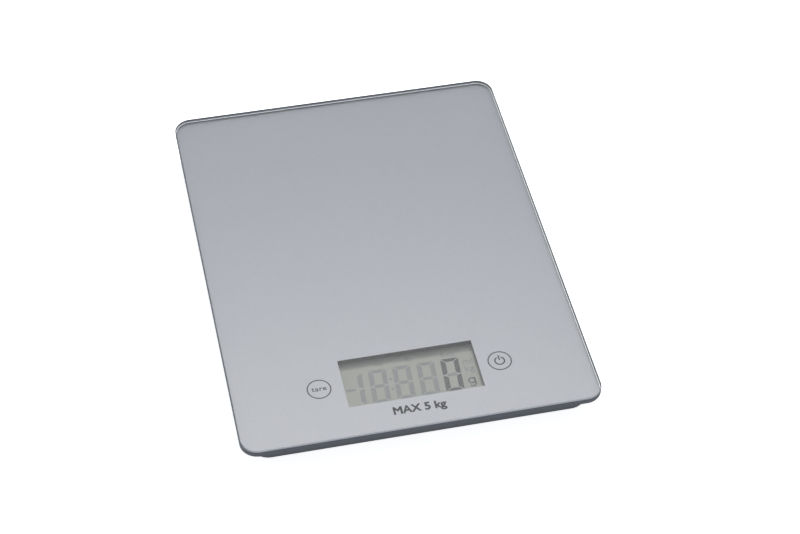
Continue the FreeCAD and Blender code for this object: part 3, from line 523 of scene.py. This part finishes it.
finishes["chip_epoxy"] = grained_finish(
    "chip_epoxy", (0.012, 0.012, 0.013), (0.02, 0.02, 0.021), 0.8 * MM, 0.01 * MM, (0.12, 0.22)
)
finishes["chip_body"] = grained_finish(
    "chip_body", (0.20, 0.15, 0.10), (0.26, 0.20, 0.14), 0.15 * MM, 0.004 * MM, (0.4, 0.5)
)
finishes["carbon_pill"] = grained_finish(
    "carbon_pill", (0.018, 0.018, 0.018), (0.03, 0.03, 0.03), 0.1 * MM, 0.006 * MM, (0.7, 0.85)
)
print("board track scale:", track_scale)

# %% [markdown]
# Two pieces are striped by the way they work. The rubber strips that feed the display are layers
# of black carbon and clear silicone, and a strain gauge is a foil thread that runs to and fro on
# an amber film. A wave of the right pitch draws both. At scale 1 the wave texture has 20 radians
# of its sine in each metre, so the scale follows from the pitch.

# %% Striped pieces
wave_radians = 20


def striped_finish(name, first, second, pitch, **fixed):
    """Stripes of two colours across X, at a pitch in metres."""
    material, tree, shader, place = new_finish(name, **fixed)
    wave = tree.nodes.new("ShaderNodeTexWave")
    wave.bands_direction = "X"
    wave.inputs["Scale"].default_value = 1 / (wave_radians * pitch) * math.tau
    tree.links.new(place, wave.inputs["Vector"])
    stripes = spread_mask(tree, wave.outputs["Fac"], 0.4, 0.6)
    grain = use_group(tree, speckle, place, Grain=0.2 * MM)
    tree.links.new(blend_colours(tree, stripes, first, second), shader.inputs["Base Color"])
    tree.links.new(grade(tree, grain, 0.35, 0.55), shader.inputs["Roughness"])
    bump_from(tree, stripes, shader, 0.01 * MM)
    return material


finishes["zebra_rubber"] = striped_finish(
    "zebra_rubber", (0.02, 0.02, 0.02), (0.55, 0.55, 0.50), 0.2 * MM
)
finishes["gauge_film"] = striped_finish(
    "gauge_film", (0.42, 0.20, 0.03), (0.55, 0.52, 0.45), 0.4 * MM, Coat_Weight=0.5
)
print("stripes ready")

# %% [markdown]
# ## The display
# A watch-style display looks olive grey, because light crosses a polariser twice on its way to
# the reflector and back. The stack of film, glass and reflector could be ray traced, but the
# polariser film is so dense that its own colour with a thin gloss looks the same.

# %% Display layers
def film_finish(name, dark, light):
    """The satin look of the display's face, in the two colours given."""
    return grained_finish(name, dark, light, 0.4 * MM, 0.002 * MM, (0.3, 0.36), Coat_Weight=0.3)


finishes["lcd_film"] = film_finish("lcd_film", (0.300, 0.300, 0.262), (0.325, 0.325, 0.284))
finishes["lcd_reflector"] = grained_finish(
    "lcd_reflector", (0.50, 0.50, 0.47), (0.60, 0.60, 0.56), 0.1 * MM, 0.004 * MM, (0.3, 0.4), Metallic=0.8
)
material, tree, shader, place = new_finish(
    "lcd_glass", Base_Color=(0.93, 0.96, 0.94, 1.0), Transmission_Weight=1.0, IOR=1.52
)
etch = use_group(tree, speckle, place, Grain=0.5 * MM)
tree.links.new(grade(tree, etch, 0.0, 0.03), shader.inputs["Roughness"])
finishes["lcd_glass"] = material
print("display face", [round(v / MM, 1) for v in film_high - film_low], "mm")

# %% [markdown]
# ## The glass platform
# The platform is one sheet of toughened float glass, four millimetres thick. Clear glass over a
# print that touches it is what makes the platform look deep. The sheet really bends the view, so
# the print and the display look nearer than they are. Light that only carries shade to what is
# under the glass goes straight through, because bent light would need very many rays to settle.

# %% Glass, arris and ground edge
glass_green = (0.975, 0.982, 0.980, 1.0)
material, tree, shader, place = new_finish(
    "clear_glass", Base_Color=glass_green, Transmission_Weight=1.0, IOR=1.5
)
polish = use_group(tree, smudges, place, Patch=45 * MM)
tree.links.new(grade(tree, polish, 0.0, 0.015), shader.inputs["Roughness"])
rays = tree.nodes.new("ShaderNodeLightPath")
straight = math_node(tree, "MAXIMUM", rays.outputs["Is Shadow Ray"], rays.outputs["Is Diffuse Ray"])
passing = tree.nodes.new("ShaderNodeBsdfTransparent")
passing.inputs["Color"].default_value = glass_green
glass_mix = tree.nodes.new("ShaderNodeMixShader")
tree.links.new(straight, glass_mix.inputs["Fac"])
tree.links.new(shader.outputs["BSDF"], glass_mix.inputs[1])
tree.links.new(passing.outputs["BSDF"], glass_mix.inputs[2])
tree.links.new(glass_mix.outputs["Shader"], tree.nodes["Material Output"].inputs["Surface"])
finishes["clear_glass"] = material

print("glass", round((glass_high.z - glass_low.z) / MM, 2), "mm thick")

# %% [markdown]
# The arris is the narrow slope ground along each edge of the sheet. Along the user's side it is
# painted light, a painted highlight that stands for the silver shining in the slope, and along
# the other three it takes the painted shade grey of the ground edge. Which way the slope faces is
# its normal's y, so that tells the two apart on a corner too.

# %% Arris
# The two greys are painted shade, and the light colour is a painted highlight on the slope that faces the
# user.
painted_edge_shade = ((0.155, 0.172, 0.197), (0.19, 0.208, 0.235))
painted_arris_highlight = (0.80, 0.825, 0.845)
material, tree, shader, place = new_finish("glass_arris", Coat_Weight=0.3, Coat_Roughness=0.1)
facing = tree.nodes.new("ShaderNodeNewGeometry")
facing_parts = tree.nodes.new("ShaderNodeSeparateXYZ")
tree.links.new(facing.outputs["Normal"], facing_parts.inputs["Vector"])
highlight_side = spread_mask(tree, math_node(tree, "MULTIPLY", facing_parts.outputs["Y"], -1.0), 0.25, 0.65)
grind = use_group(tree, speckle, place, Grain=0.25 * MM)
arris_painted_shade = blend_colours(tree, grind, *painted_edge_shade)
tree.links.new(blend_colours(tree, highlight_side, arris_painted_shade, painted_arris_highlight), shader.inputs["Base Color"])
tree.links.new(grade(tree, grind, 0.25, 0.35), shader.inputs["Roughness"])
bump_from(tree, grind, shader, 0.002 * MM)
finishes["glass_arris"] = material
print("edge greys:", painted_edge_shade)

# %% [markdown]
# The edge of the sheet is ground. Its slate grey is painted shade, which stands for the dark
# housing that the edge gathers from behind it. From inside the glass the same edge is painted as a
# dark line of shade with a lighter foot, a painted reflection of the silver. The side that a face
# is seen from tells the two apart, and the height splits the inner view.

# %% Ground edge
material, tree, shader, place = new_finish("ground_edge", IOR=1.5, Coat_Weight=0.4, Coat_Roughness=0.12)
height = tree.nodes.new("ShaderNodeSeparateXYZ")
tree.links.new(place, height.inputs["Vector"])
# Below this height the inner view is a painted reflection of the silver print, and above it painted shade.
foot_share = 0.35
foot_blur = 0.2 * MM
foot_line = glass_low.z + foot_share * (glass_high.z - glass_low.z)
inner_shade_band = spread_mask(tree, height.outputs["Z"], foot_line - foot_blur, foot_line + foot_blur)
grind = use_group(tree, speckle, place, Grain=0.3 * MM)
# Seen from outside, the edge is painted shade grey; seen from inside, painted shade above a painted
# reflection.
painted_outer_shade = blend_colours(tree, grind, *painted_edge_shade)
painted_inner_shade_and_reflection = blend_colours(tree, inner_shade_band, (0.46, 0.49, 0.51), (0.15, 0.165, 0.18))
side = tree.nodes.new("ShaderNodeNewGeometry")
tree.links.new(blend_colours(tree, side.outputs["Backfacing"], painted_outer_shade, painted_inner_shade_and_reflection), shader.inputs["Base Color"])
tree.links.new(grade(tree, grind, 0.25, 0.35), shader.inputs["Roughness"])
bump_from(tree, grind, shader, 0.004 * MM)
finishes["ground_edge"] = material

flat_lean, edge_lean = 0.9, 0.3
glass = nodes["glass_platform"]
glass.data.materials.clear()
for name in ("clear_glass", "glass_arris", "ground_edge"):
    glass.data.materials.append(finishes[name])
counts = [0, 0, 0]
for face in glass.data.polygons:
    lean = abs(face.normal.z)
    face.material_index = 0 if lean > flat_lean else 2 if lean < edge_lean else 1
    counts[face.material_index] += 1
print("glass faces: flat, arris, edge =", counts)

# %% [markdown]
# ## The silver print
# The ink is a silver paint full of fine metal flakes, screened onto the underside of the glass,
# so it shines like satin metal from above and shows its dull grey backing from below. It touches
# the glass with no air between. Two faces in one place would flicker, so the printed sheet is
# remade with its upper face sunk a few hundredths of a millimetre into the glass.

# %% Silver ink and its backing
flake_share = 0.6
cloud_share = 0.4
silver_dark, silver_light = (0.59, 0.595, 0.615), (0.67, 0.675, 0.695)
material, tree, shader, place = new_finish("silver_print", Metallic=0.9)
flake = use_group(tree, speckle, place, Grain=0.16 * MM)
cloud = use_group(tree, speckle, place, Grain=0.9 * MM)
flake_part = math_node(tree, "MULTIPLY", flake, flake_share)
cloud_part = math_node(tree, "MULTIPLY", cloud, cloud_share)
mix = math_node(tree, "ADD", flake_part, cloud_part)
tree.links.new(blend_colours(tree, mix, silver_dark, silver_light), shader.inputs["Base Color"])
tree.links.new(grade(tree, flake, 0.30, 0.38), shader.inputs["Roughness"])
bump_from(tree, flake, shader, 0.004 * MM)
finishes["silver_print"] = material
finishes["print_backing"] = grained_finish(
    "print_backing", (0.20, 0.21, 0.225), (0.24, 0.25, 0.265), 0.3 * MM, 0.004 * MM, (0.5, 0.6)
)

sink = 0.02 * MM
sheet_mesh = nodes["back_print"].data.copy()
sheet_middle = middle(print_low, print_high).z
for vertex in sheet_mesh.vertices:
    if vertex.co.z > sheet_middle:
        vertex.co.z += sink
sheet_mesh.materials.clear()
sheet_mesh.materials.append(finishes["silver_print"])
sheet_mesh.materials.append(finishes["print_backing"])
for face in sheet_mesh.polygons:
    face.material_index = 1 if face.normal.z < -0.5 else 0
silver_sheet = bpy.data.objects.new("silver_print_sheet", sheet_mesh)
bpy.context.scene.collection.objects.link(silver_sheet)
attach(silver_sheet, "housing")
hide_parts("back_print")
ink_level = print_high.z + sink
print("silver sheet up to", round(ink_level / MM, 3), "mm")


# %% [markdown]
# ## Shapes for the thin marks
# Ink and moulded marks are real, very thin solids. Three helpers make them: one joins closed
# outlines of equal length into a solid, one draws a line of even width along a path, and one
# sets words in the built-in sans face. All give closed meshes.

# %% Helpers for thin solids
def add_piece(name, mesh, finish, body="housing"):
    mesh.materials.clear()
    mesh.materials.append(finishes[finish])
    piece = bpy.data.objects.new(name, mesh)
    bpy.context.scene.collection.objects.link(piece)
    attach(piece, body)
    return piece


def mesh_from(name, points, faces):
    mesh = bpy.data.meshes.new(name)
    mesh.from_pydata(points, [], faces)
    work = bmesh.new()
    work.from_mesh(mesh)
    bmesh.ops.remove_doubles(work, verts=work.verts, dist=1e-7)
    bmesh.ops.recalc_face_normals(work, faces=work.faces)
    work.to_mesh(mesh)
    work.free()
    return mesh


def loft(outlines, points, faces):
    """Adds one closed solid through outlines of the same number of points."""
    start, count = len(points), len(outlines[0])
    for outline in outlines:
        points.extend(outline)
    for k in range(len(outlines) - 1):
        low = start + k * count
        for i in range(count):
            j = (i + 1) % count
            faces.append((low + i, low + j, low + count + j, low + count + i))
    faces.append(tuple(range(start, start + count))[::-1])
    last = start + (len(outlines) - 1) * count
    faces.append(tuple(range(last, last + count)))


def slab(outline, bottom, top, points, faces):
    """Adds a flat solid with the same outline below and above."""
    loft([[(x, y, z) for x, y in outline] for z in (bottom, top)], points, faces)


def stroke(path, width, bottom, top, points, faces, closed=False):
    """Adds a line of even width along a flat path."""
    count = len(path)
    start = len(points)
    for k, (x, y) in enumerate(path):
        before = path[k - 1] if closed or k else path[0]
        after = path[(k + 1) % count] if closed or k < count - 1 else path[-1]
        along = Vector((after[0] - before[0], after[1] - before[1])).normalized()
        across = Vector((-along.y, along.x)) * width / 2
        for sx, z in ((1, bottom), (-1, bottom), (-1, top), (1, top)):
            points.append((x + sx * across.x, y + sx * across.y, z))
    for k in range(count if closed else count - 1):
        here, there = start + 4 * k, start + 4 * ((k + 1) % count)
        for i in range(4):
            j = (i + 1) % 4
            faces.append((here + i, there + i, there + j, here + j))
    if not closed:
        last = start + 4 * (count - 1)
        faces.append((start, start + 1, start + 2, start + 3))
        faces.append((last + 3, last + 2, last + 1, last))


def arc_path(centre, radius, first, last, count):
    """Points along an arc, in degrees anticlockwise from +X."""
    turns = [math.radians(first + (last - first) * k / (count - 1)) for k in range(count)]
    return [(centre[0] + radius * math.cos(a), centre[1] + radius * math.sin(a)) for a in turns]


print("thin-solid helpers ready")


# %% [markdown]
# Words are set as a text curve, turned into a mesh, made bolder, and scaled until their
# capitals have the height that is asked for. In the built-in face a capital is 0.729 of the
# type size. Marks on the underside are turned over about the Y axis, so that they read the
# right way round when the scale is picked up.

# %% Helper for words
capital_share = 0.729
short_mitre = 0.7


def embolden(work, weight):
    """Moves every outline outwards; at a sharp corner the move stays short."""
    work.normal_update()
    moves = []
    for vertex in work.verts:
        sides = [face.normal for face in vertex.link_faces if abs(face.normal.z) < 0.5]
        outward = sum(sides, Vector()).normalized()
        if outward.length > 0.5:
            moves.append((vertex, outward * weight / max(outward.dot(sides[0]), short_mitre)))
    for vertex, move in moves:
        vertex.co += move


def words_mesh(text, capital, centre, bottom, thickness, spacing=1.0, weight=0.0, from_below=False):
    """Words centred on a point, with capitals of the height asked for and strokes made bolder."""
    curve = bpy.data.curves.new("words", "FONT")
    curve.body = text
    curve.align_x = "CENTER"
    curve.space_character = spacing
    curve.resolution_u = 6
    curve.extrude = 0.5
    holder = bpy.data.objects.new("words", curve)
    bpy.context.scene.collection.objects.link(holder)
    bpy.context.view_layer.update()
    mesh = bpy.data.meshes.new_from_object(holder)
    bpy.data.objects.remove(holder)
    scale = capital / capital_share
    work = bmesh.new()
    work.from_mesh(mesh)
    bmesh.ops.remove_doubles(work, verts=work.verts, dist=1e-5)
    bmesh.ops.recalc_face_normals(work, faces=work.faces)
    embolden(work, weight)
    xs = [v.co.x for v in work.verts]
    ys = [v.co.y for v in work.verts]
    middle_x, middle_y = (min(xs) + max(xs)) / 2, (min(ys) + max(ys)) / 2
    for v in work.verts:
        x = (v.co.x - middle_x) * scale
        y = (v.co.y - middle_y) * scale
        z = (v.co.z + 0.5) * thickness
        if from_below:
            x, z = -x, -z
        v.co = (centre[0] + x, centre[1] + y, bottom + z)
    bmesh.ops.recalc_face_normals(work, faces=work.faces)
    work.to_mesh(mesh)
    work.free()
    width = (max(xs) - min(xs)) * scale
    return mesh, width


print("word helper ready")

# %% [markdown]
# ## The printed marks
# The dark marks are a second ink that is screened onto the glass before the silver. Inks look
# flat beside the satin silver, so this finish has little gloss and a fine, nearly hidden grain.
# The ring round each touch key shows where to put a finger. The left key sets the scale to zero,
# and the right one switches it on and off, so its sign is an open ring with an upright bar. The
# print sits a little to the left of the springs under the keys, as screened ink often does.

# %% Rings and the power sign
finishes["dark_ink"] = grained_finish(
    "dark_ink", (0.040, 0.041, 0.044), (0.055, 0.056, 0.060), 0.15 * MM, 0.001 * MM, (0.5, 0.6)
)
ink_coat = 0.012 * MM
ink_top = ink_level + ink_coat
key_radius = 6.1 * MM
ring_line = 0.6 * MM
print_shift = Vector((-0.6, -0.3, 0.0)) * MM
tare_key = middle(tare_low, tare_high) + print_shift
power_key = middle(power_low, power_high) + print_shift
for name, key in (("tare_key_ring", tare_key), ("power_key_ring", power_key)):
    points, faces = [], []
    circle = arc_path((key.x, key.y), key_radius - ring_line / 2, 0, 360, 97)[:-1]
    stroke(circle, ring_line, ink_level, ink_top, points, faces, closed=True)
    add_piece(name, mesh_from(name, points, faces), "dark_ink")

sign_radius = 2.4 * MM
sign_line = 0.7 * MM
sign_start, sign_end = 115, 425
bar_from, bar_to = 0.5 * MM, 3.6 * MM
points, faces = [], []
open_ring = arc_path((power_key.x, power_key.y), sign_radius, sign_start, sign_end, 48)
stroke(open_ring, sign_line, ink_level, ink_top, points, faces)
bar = [(power_key.x, power_key.y + bar_from), (power_key.x, power_key.y + bar_to)]
stroke(bar, sign_line, ink_level, ink_top, points, faces)
add_piece("power_sign", mesh_from("power_sign", points, faces), "dark_ink")
print("key rings at", [round(v / MM, 1) for v in (tare_key.x, power_key.x, power_key.y)])

# %% [markdown]
# The words say only what the keys and the scale do: the left key's name, and the greatest load.

# %% Printed words
ink_thickness = ink_top - ink_level
tare_capital, tare_spacing, tare_weight = 3.0 * MM, 1.12, 0.015
load_capital, load_spacing, load_weight = 4.7 * MM, 1.0, 0.036
tare_centre = (tare_key.x, tare_key.y)
load_centre = (-0.3 * MM, glass_low.y + 12.6 * MM)
mesh, width = words_mesh(
    "tare", tare_capital, tare_centre, ink_level, ink_thickness, tare_spacing, tare_weight
)
add_piece("tare_word", mesh, "dark_ink")
print("tare word", round(width / MM, 2), "mm wide")
mesh, width = words_mesh(
    "MAX 5 kg", load_capital, load_centre, ink_level, ink_thickness, load_spacing, load_weight
)
add_piece("greatest_load_words", mesh, "dark_ink")
print("greatest load words", round(width / MM, 2), "mm wide")

# %% [markdown]
# ## The display's segments
# A seven-segment figure is cut from two uprights and three bars with mitred ends and hairline
# gaps. The figures lean a little. A segment that is off can still be made out as a faint patch,
# so all of them are made, and only the last figure's nought and the letter g are switched on.

# %% Outlines of one figure
figure_width = 9.15 * MM
figure_height = 21.1 * MM
upright = 2.5 * MM
bar_height = 2.0 * MM
hairline = 0.42 * MM
lean = 0.06


def figure_segments(left, bottom):
    """The outlines of the seven segments of one leaning figure, by their usual letters."""
    w, h, half = figure_width, figure_height, figure_height / 2
    u, b, g = upright, bar_height, hairline
    upper_left = [
        (0, h - g), (0, half + g), (0.45 * u, half + g), (u, half + b / 2 + g), (u, h - b - g)
    ]
    top = [(g, h), (u + g / 2, h - b), (w - u - g / 2, h - b), (w - g, h)]
    waist = [
        (0.5 * u + g, half),
        (u + g / 2, half - b / 2),
        (w - u - g / 2, half - b / 2),
        (w - 0.5 * u - g, half),
        (w - u - g / 2, half + b / 2),
        (u + g / 2, half + b / 2),
    ]
    made = {
        "a": top,
        "b": [(w - x, y) for x, y in upper_left],
        "c": [(w - x, h - y) for x, y in upper_left],
        "d": [(x, h - y) for x, y in top],
        "e": [(x, h - y) for x, y in upper_left],
        "f": upper_left,
        "g": waist,
    }
    return {
        letter: [(left + x + lean * y, bottom + y) for x, y in outline]
        for letter, outline in made.items()
    }


print("figure", round(figure_width / MM, 1), "x", round(figure_height / MM, 1), "mm")

# %% [markdown]
# Four figures, a leading one, a minus sign and a colon lie on the face of the film as one thin
# coat. The last figure is a nought, so all but its middle segment are on and dark. The others
# are off, a faint shade away from the film. Each kind is one piece.

# %% Switched-off and switched-on segments
finishes["segment_off"] = film_finish("segment_off", (0.198, 0.198, 0.197), (0.216, 0.216, 0.215))
finishes["segment_on"] = film_finish("segment_on", (0.050, 0.050, 0.052), (0.062, 0.062, 0.065))
segment_top = film_high.z + ink_coat
last_left = 15.45 * MM
figure_pitch = 12.3 * MM
figures_drop = 12.8 * MM
sign_gap, sign_length, sign_height = 0.9 * MM, 4.7 * MM, 1.4 * MM
colon_spread, colon_radius = 3.3 * MM, 0.75 * MM
display_middle = middle(film_low, film_high)
figures_bottom = display_middle.y - figures_drop
lit_points, lit_faces, dim_points, dim_faces = [], [], [], []
for k in range(4):
    for letter, outline in figure_segments(last_left - k * figure_pitch, figures_bottom).items():
        if k == 0 and letter != "g":
            slab(outline, film_high.z, segment_top, lit_points, lit_faces)
        else:
            slab(outline, film_high.z, segment_top, dim_points, dim_faces)
ahead = figure_segments(last_left - 4 * figure_pitch, figures_bottom)
for letter in "bc":
    slab(ahead[letter], film_high.z, segment_top, dim_points, dim_faces)
waist_y = figures_bottom + figure_height / 2
sign_left = last_left - 4 * figure_pitch + sign_gap
minus = [(sign_left, waist_y), (sign_left + sign_length, waist_y)]
stroke(minus, sign_height, film_high.z, segment_top, dim_points, dim_faces)
colon_x = last_left - 2 * figure_pitch - (figure_pitch - figure_width) / 2 + lean * figure_height / 2
for side in (-1, 1):
    dot_centre = (colon_x + side * lean * colon_spread, waist_y + side * colon_spread)
    dot = arc_path(dot_centre, colon_radius, 0, 360, 17)[:-1]
    slab(dot, film_high.z, segment_top, dim_points, dim_faces)
add_piece("lit_segments", mesh_from("lit_segments", lit_points, lit_faces), "segment_on")
add_piece("dim_segments", mesh_from("dim_segments", dim_points, dim_faces), "segment_off")
print("segments:", len(lit_faces) + len(dim_faces), "faces")

# %% [markdown]
# Small unit names stand round the figures, as faint as the other segments that are off. Each row
# gives the place of a name's middle, across the scale and up from the middle of the film, and
# the height of its capitals, in millimetres.

# %% Unit names
unit_weight = 0.01
unit_names = [
    ("unit_kg", "kg", 30.1, -0.4, 4.2),
    ("unit_ml", "ml", 30.0, 4.8, 4.2),
    ("unit_floz", "fl.oz", 21.2, 11.2, 3.2),
    ("unit_lb", "lb", 1.1, 12.2, 3.6),
    ("unit_oz", "oz", -13.9, 11.7, 3.4),
]
segment_coat = segment_top - film_high.z
for name, text, x, y, capital in unit_names:
    centre = (x * MM, display_middle.y + y * MM)
    mesh, width = words_mesh(text, capital * MM, centre, film_high.z, segment_coat, weight=unit_weight)
    add_piece(name, mesh, "segment_off")
print("unit names:", len(unit_names))

# %% [markdown]
# The g in use is dark. A display's g has one bowl and a hook, which the built-in face doesn't
# have, so it is drawn as two lines of even width: a bowl that is open at the stem, and a stem
# that runs on round the hook.

# %% The letter g, switched on
bowl_radius = 1.55 * MM
g_line = 0.75 * MM
g_x, g_y = 29.4 * MM, display_middle.y - 7.9 * MM
bowl_start, bowl_end = 20, 340
hook_end = -150
hook_drop = 2.0 * MM
stem_x = g_x + bowl_radius
points, faces = [], []
bowl = arc_path((g_x, g_y), bowl_radius, bowl_start, bowl_end, 33)
stroke(bowl, g_line, film_high.z, segment_top, points, faces)
tail = [(stem_x, g_y + bowl_radius + g_line / 2)]
tail += arc_path((g_x, g_y - hook_drop), bowl_radius, 0, hook_end, 17)
stroke(tail, g_line, film_high.z, segment_top, points, faces)
add_piece("unit_g", mesh_from("unit_g", points, faces), "segment_on")
print("letter g", round(2 * bowl_radius / MM + g_line / MM, 2), "mm wide")

# %% [markdown]
# ## The underside
# A rating label is a satin polyester film. It carries a thin frame and a few plain facts: what
# the thing is, the greatest load, the smallest step, and the battery's voltage.

# %% Rating label
finishes["label_film"] = grained_finish(
    "label_film", (0.58, 0.59, 0.60), (0.64, 0.65, 0.66), 0.25 * MM, 0.002 * MM, (0.35, 0.45)
)
label_middle = middle(label_low, label_high)
label_half = (label_high - label_low) / 2
frame_inset = 1.2 * MM
frame_corner = 1.0 * MM
frame_line = 0.25 * MM
label_spacing, label_weight = 1.05, 0.012
corner_x = label_half.x - frame_inset - frame_corner
corner_y = label_half.y - frame_inset - frame_corner
frame_path = []
for sx, sy, first in ((1, 1, 0), (-1, 1, 90), (-1, -1, 180), (1, -1, 270)):
    corner = (label_middle.x + sx * corner_x, label_middle.y + sy * corner_y)
    frame_path.extend(arc_path(corner, frame_corner, first, first + 90, 7))
points, faces = [], []
stroke(frame_path, frame_line, label_low.z - ink_coat, label_low.z, points, faces, closed=True)
add_piece("label_frame", mesh_from("label_frame", points, faces), "dark_ink")
label_words = [
    ("label_name", "KITCHEN SCALE", 2.3, 4.6),
    ("label_load", "MAX 5 kg     d = 1 g", 2.0, 0.2),
    ("label_battery", "BATTERY  3 V", 2.0, -4.2),
]
for name, text, capital, y in label_words:
    centre = (label_middle.x, label_middle.y + y * MM)
    mesh, width = words_mesh(
        text, capital * MM, centre, label_low.z, ink_coat, label_spacing, label_weight, from_below=True
    )
    add_piece(name, mesh, "dark_ink")
print("label", [round(v / MM, 1) for v in label_half * 2], "mm")


# %% [markdown]
# ## The battery door and the unit button
# Moulded words stand a fifth of a millimetre proud of the plastic. The door has three grip
# ridges behind its latch, a little higher and with sloping sides so that the door leaves its
# mould, and the word that says what it does. Its marks ride on the door and swing with it.

# %% Helper for moulded ridges
def ridge(centre, length, width, level, height, slope, points, faces):
    """Adds a bar with round ends that stands down from a level, narrower at its crest."""
    outlines = []
    for shrink, z in ((0.0, level), (slope, level - height)):
        radius = width / 2 - shrink
        reach = length / 2 - width / 2
        right = arc_path((centre[0] + reach, centre[1]), radius, -90, 90, 9)
        left = arc_path((centre[0] - reach, centre[1]), radius, 90, 270, 9)
        outlines.append([(x, y, z) for x, y in right + left])
    loft(outlines, points, faces)


mark_height = 0.2 * MM
ridge_height = 1.5 * mark_height
ridge_count = 3
ridge_width, ridge_slope = 0.9 * MM, 0.15 * MM
first_ridge_y, ridge_pitch = 6.4, 1.8
first_ridge_length, ridge_step = 12.0, 2.0
moulded_spacing, moulded_weight = 1.1, 0.02
open_capital, open_y = 2.6 * MM, 15.2 * MM
points, faces = [], []
for k in range(ridge_count):
    centre = (0.0, door_low.y + (first_ridge_y + ridge_pitch * k) * MM)
    length = (first_ridge_length - ridge_step * k) * MM
    ridge(centre, length, ridge_width, door_low.z, ridge_height, ridge_slope, points, faces)
mesh = mesh_from("door_grip_ridges", points, faces)
add_piece("door_grip_ridges", mesh, "slate_plastic", "battery_door")


def moulded_word(text, capital, centre, level):
    """A raised word that is read from below."""
    return words_mesh(
        text, capital, centre, level, mark_height, moulded_spacing, moulded_weight, from_below=True
    )


mesh, width = moulded_word("OPEN", open_capital, (0.0, door_low.y + open_y), door_low.z)
add_piece("door_word", mesh, "slate_plastic", "battery_door")
print("door word", round(width / MM, 2), "mm wide")

# %% [markdown]
# The word beside the unit button says what the button changes. It is moulded in the cover, so it
# stays where it is when the button goes in. The cell's plus sign and voltage are etched in its
# can: they are drawn as a thin darker coat, because nobody sees their depth.

# %% Marks by the unit button and on the battery
unit_word_capital, unit_word_gap = 2.4 * MM, 8.4 * MM
etched_weight = 0.01
button_middle = middle(button_low, button_high)
unit_word_centre = (button_middle.x, button_middle.y - unit_word_gap)
mesh, width = moulded_word("UNIT", unit_word_capital, unit_word_centre, cover_low.z)
add_piece("unit_word", mesh, "slate_plastic")
print("unit word", round(width / MM, 2), "mm wide")
finishes["etched_mark"] = grained_finish(
    "etched_mark", (0.20, 0.20, 0.20), (0.28, 0.28, 0.28), 0.1 * MM, 0.002 * MM, (0.45, 0.6), Metallic=0.6
)
cell_middle = middle(cell_low, cell_high)
for name, text, capital, y in (("cell_plus", "+", 5.0, 3.2), ("cell_volts", "3 V", 2.6, -3.4)):
    centre = (cell_middle.x, cell_middle.y + y * MM)
    mesh, width = words_mesh(
        text, capital * MM, centre, cell_low.z, ink_coat, weight=etched_weight, from_below=True
    )
    add_piece(name, mesh, "etched_mark")
print("battery marks", round(cell_low.z / MM, 2), "mm up")

# %% [markdown]
# ## Every part gets its finish
# The record names a material slot for each part, and the finishes have the same names. The glass
# already has its own three, and the silver sheet stands for the print.

# %% Hand the finishes out
for part in frame["record"]["subparts"]:
    node, slot_name = nodes[part["node"]], part["material_slot"]
    if part["node"] != "glass_platform":
        node.data.materials.clear()
        node.data.materials.append(finishes[slot_name])
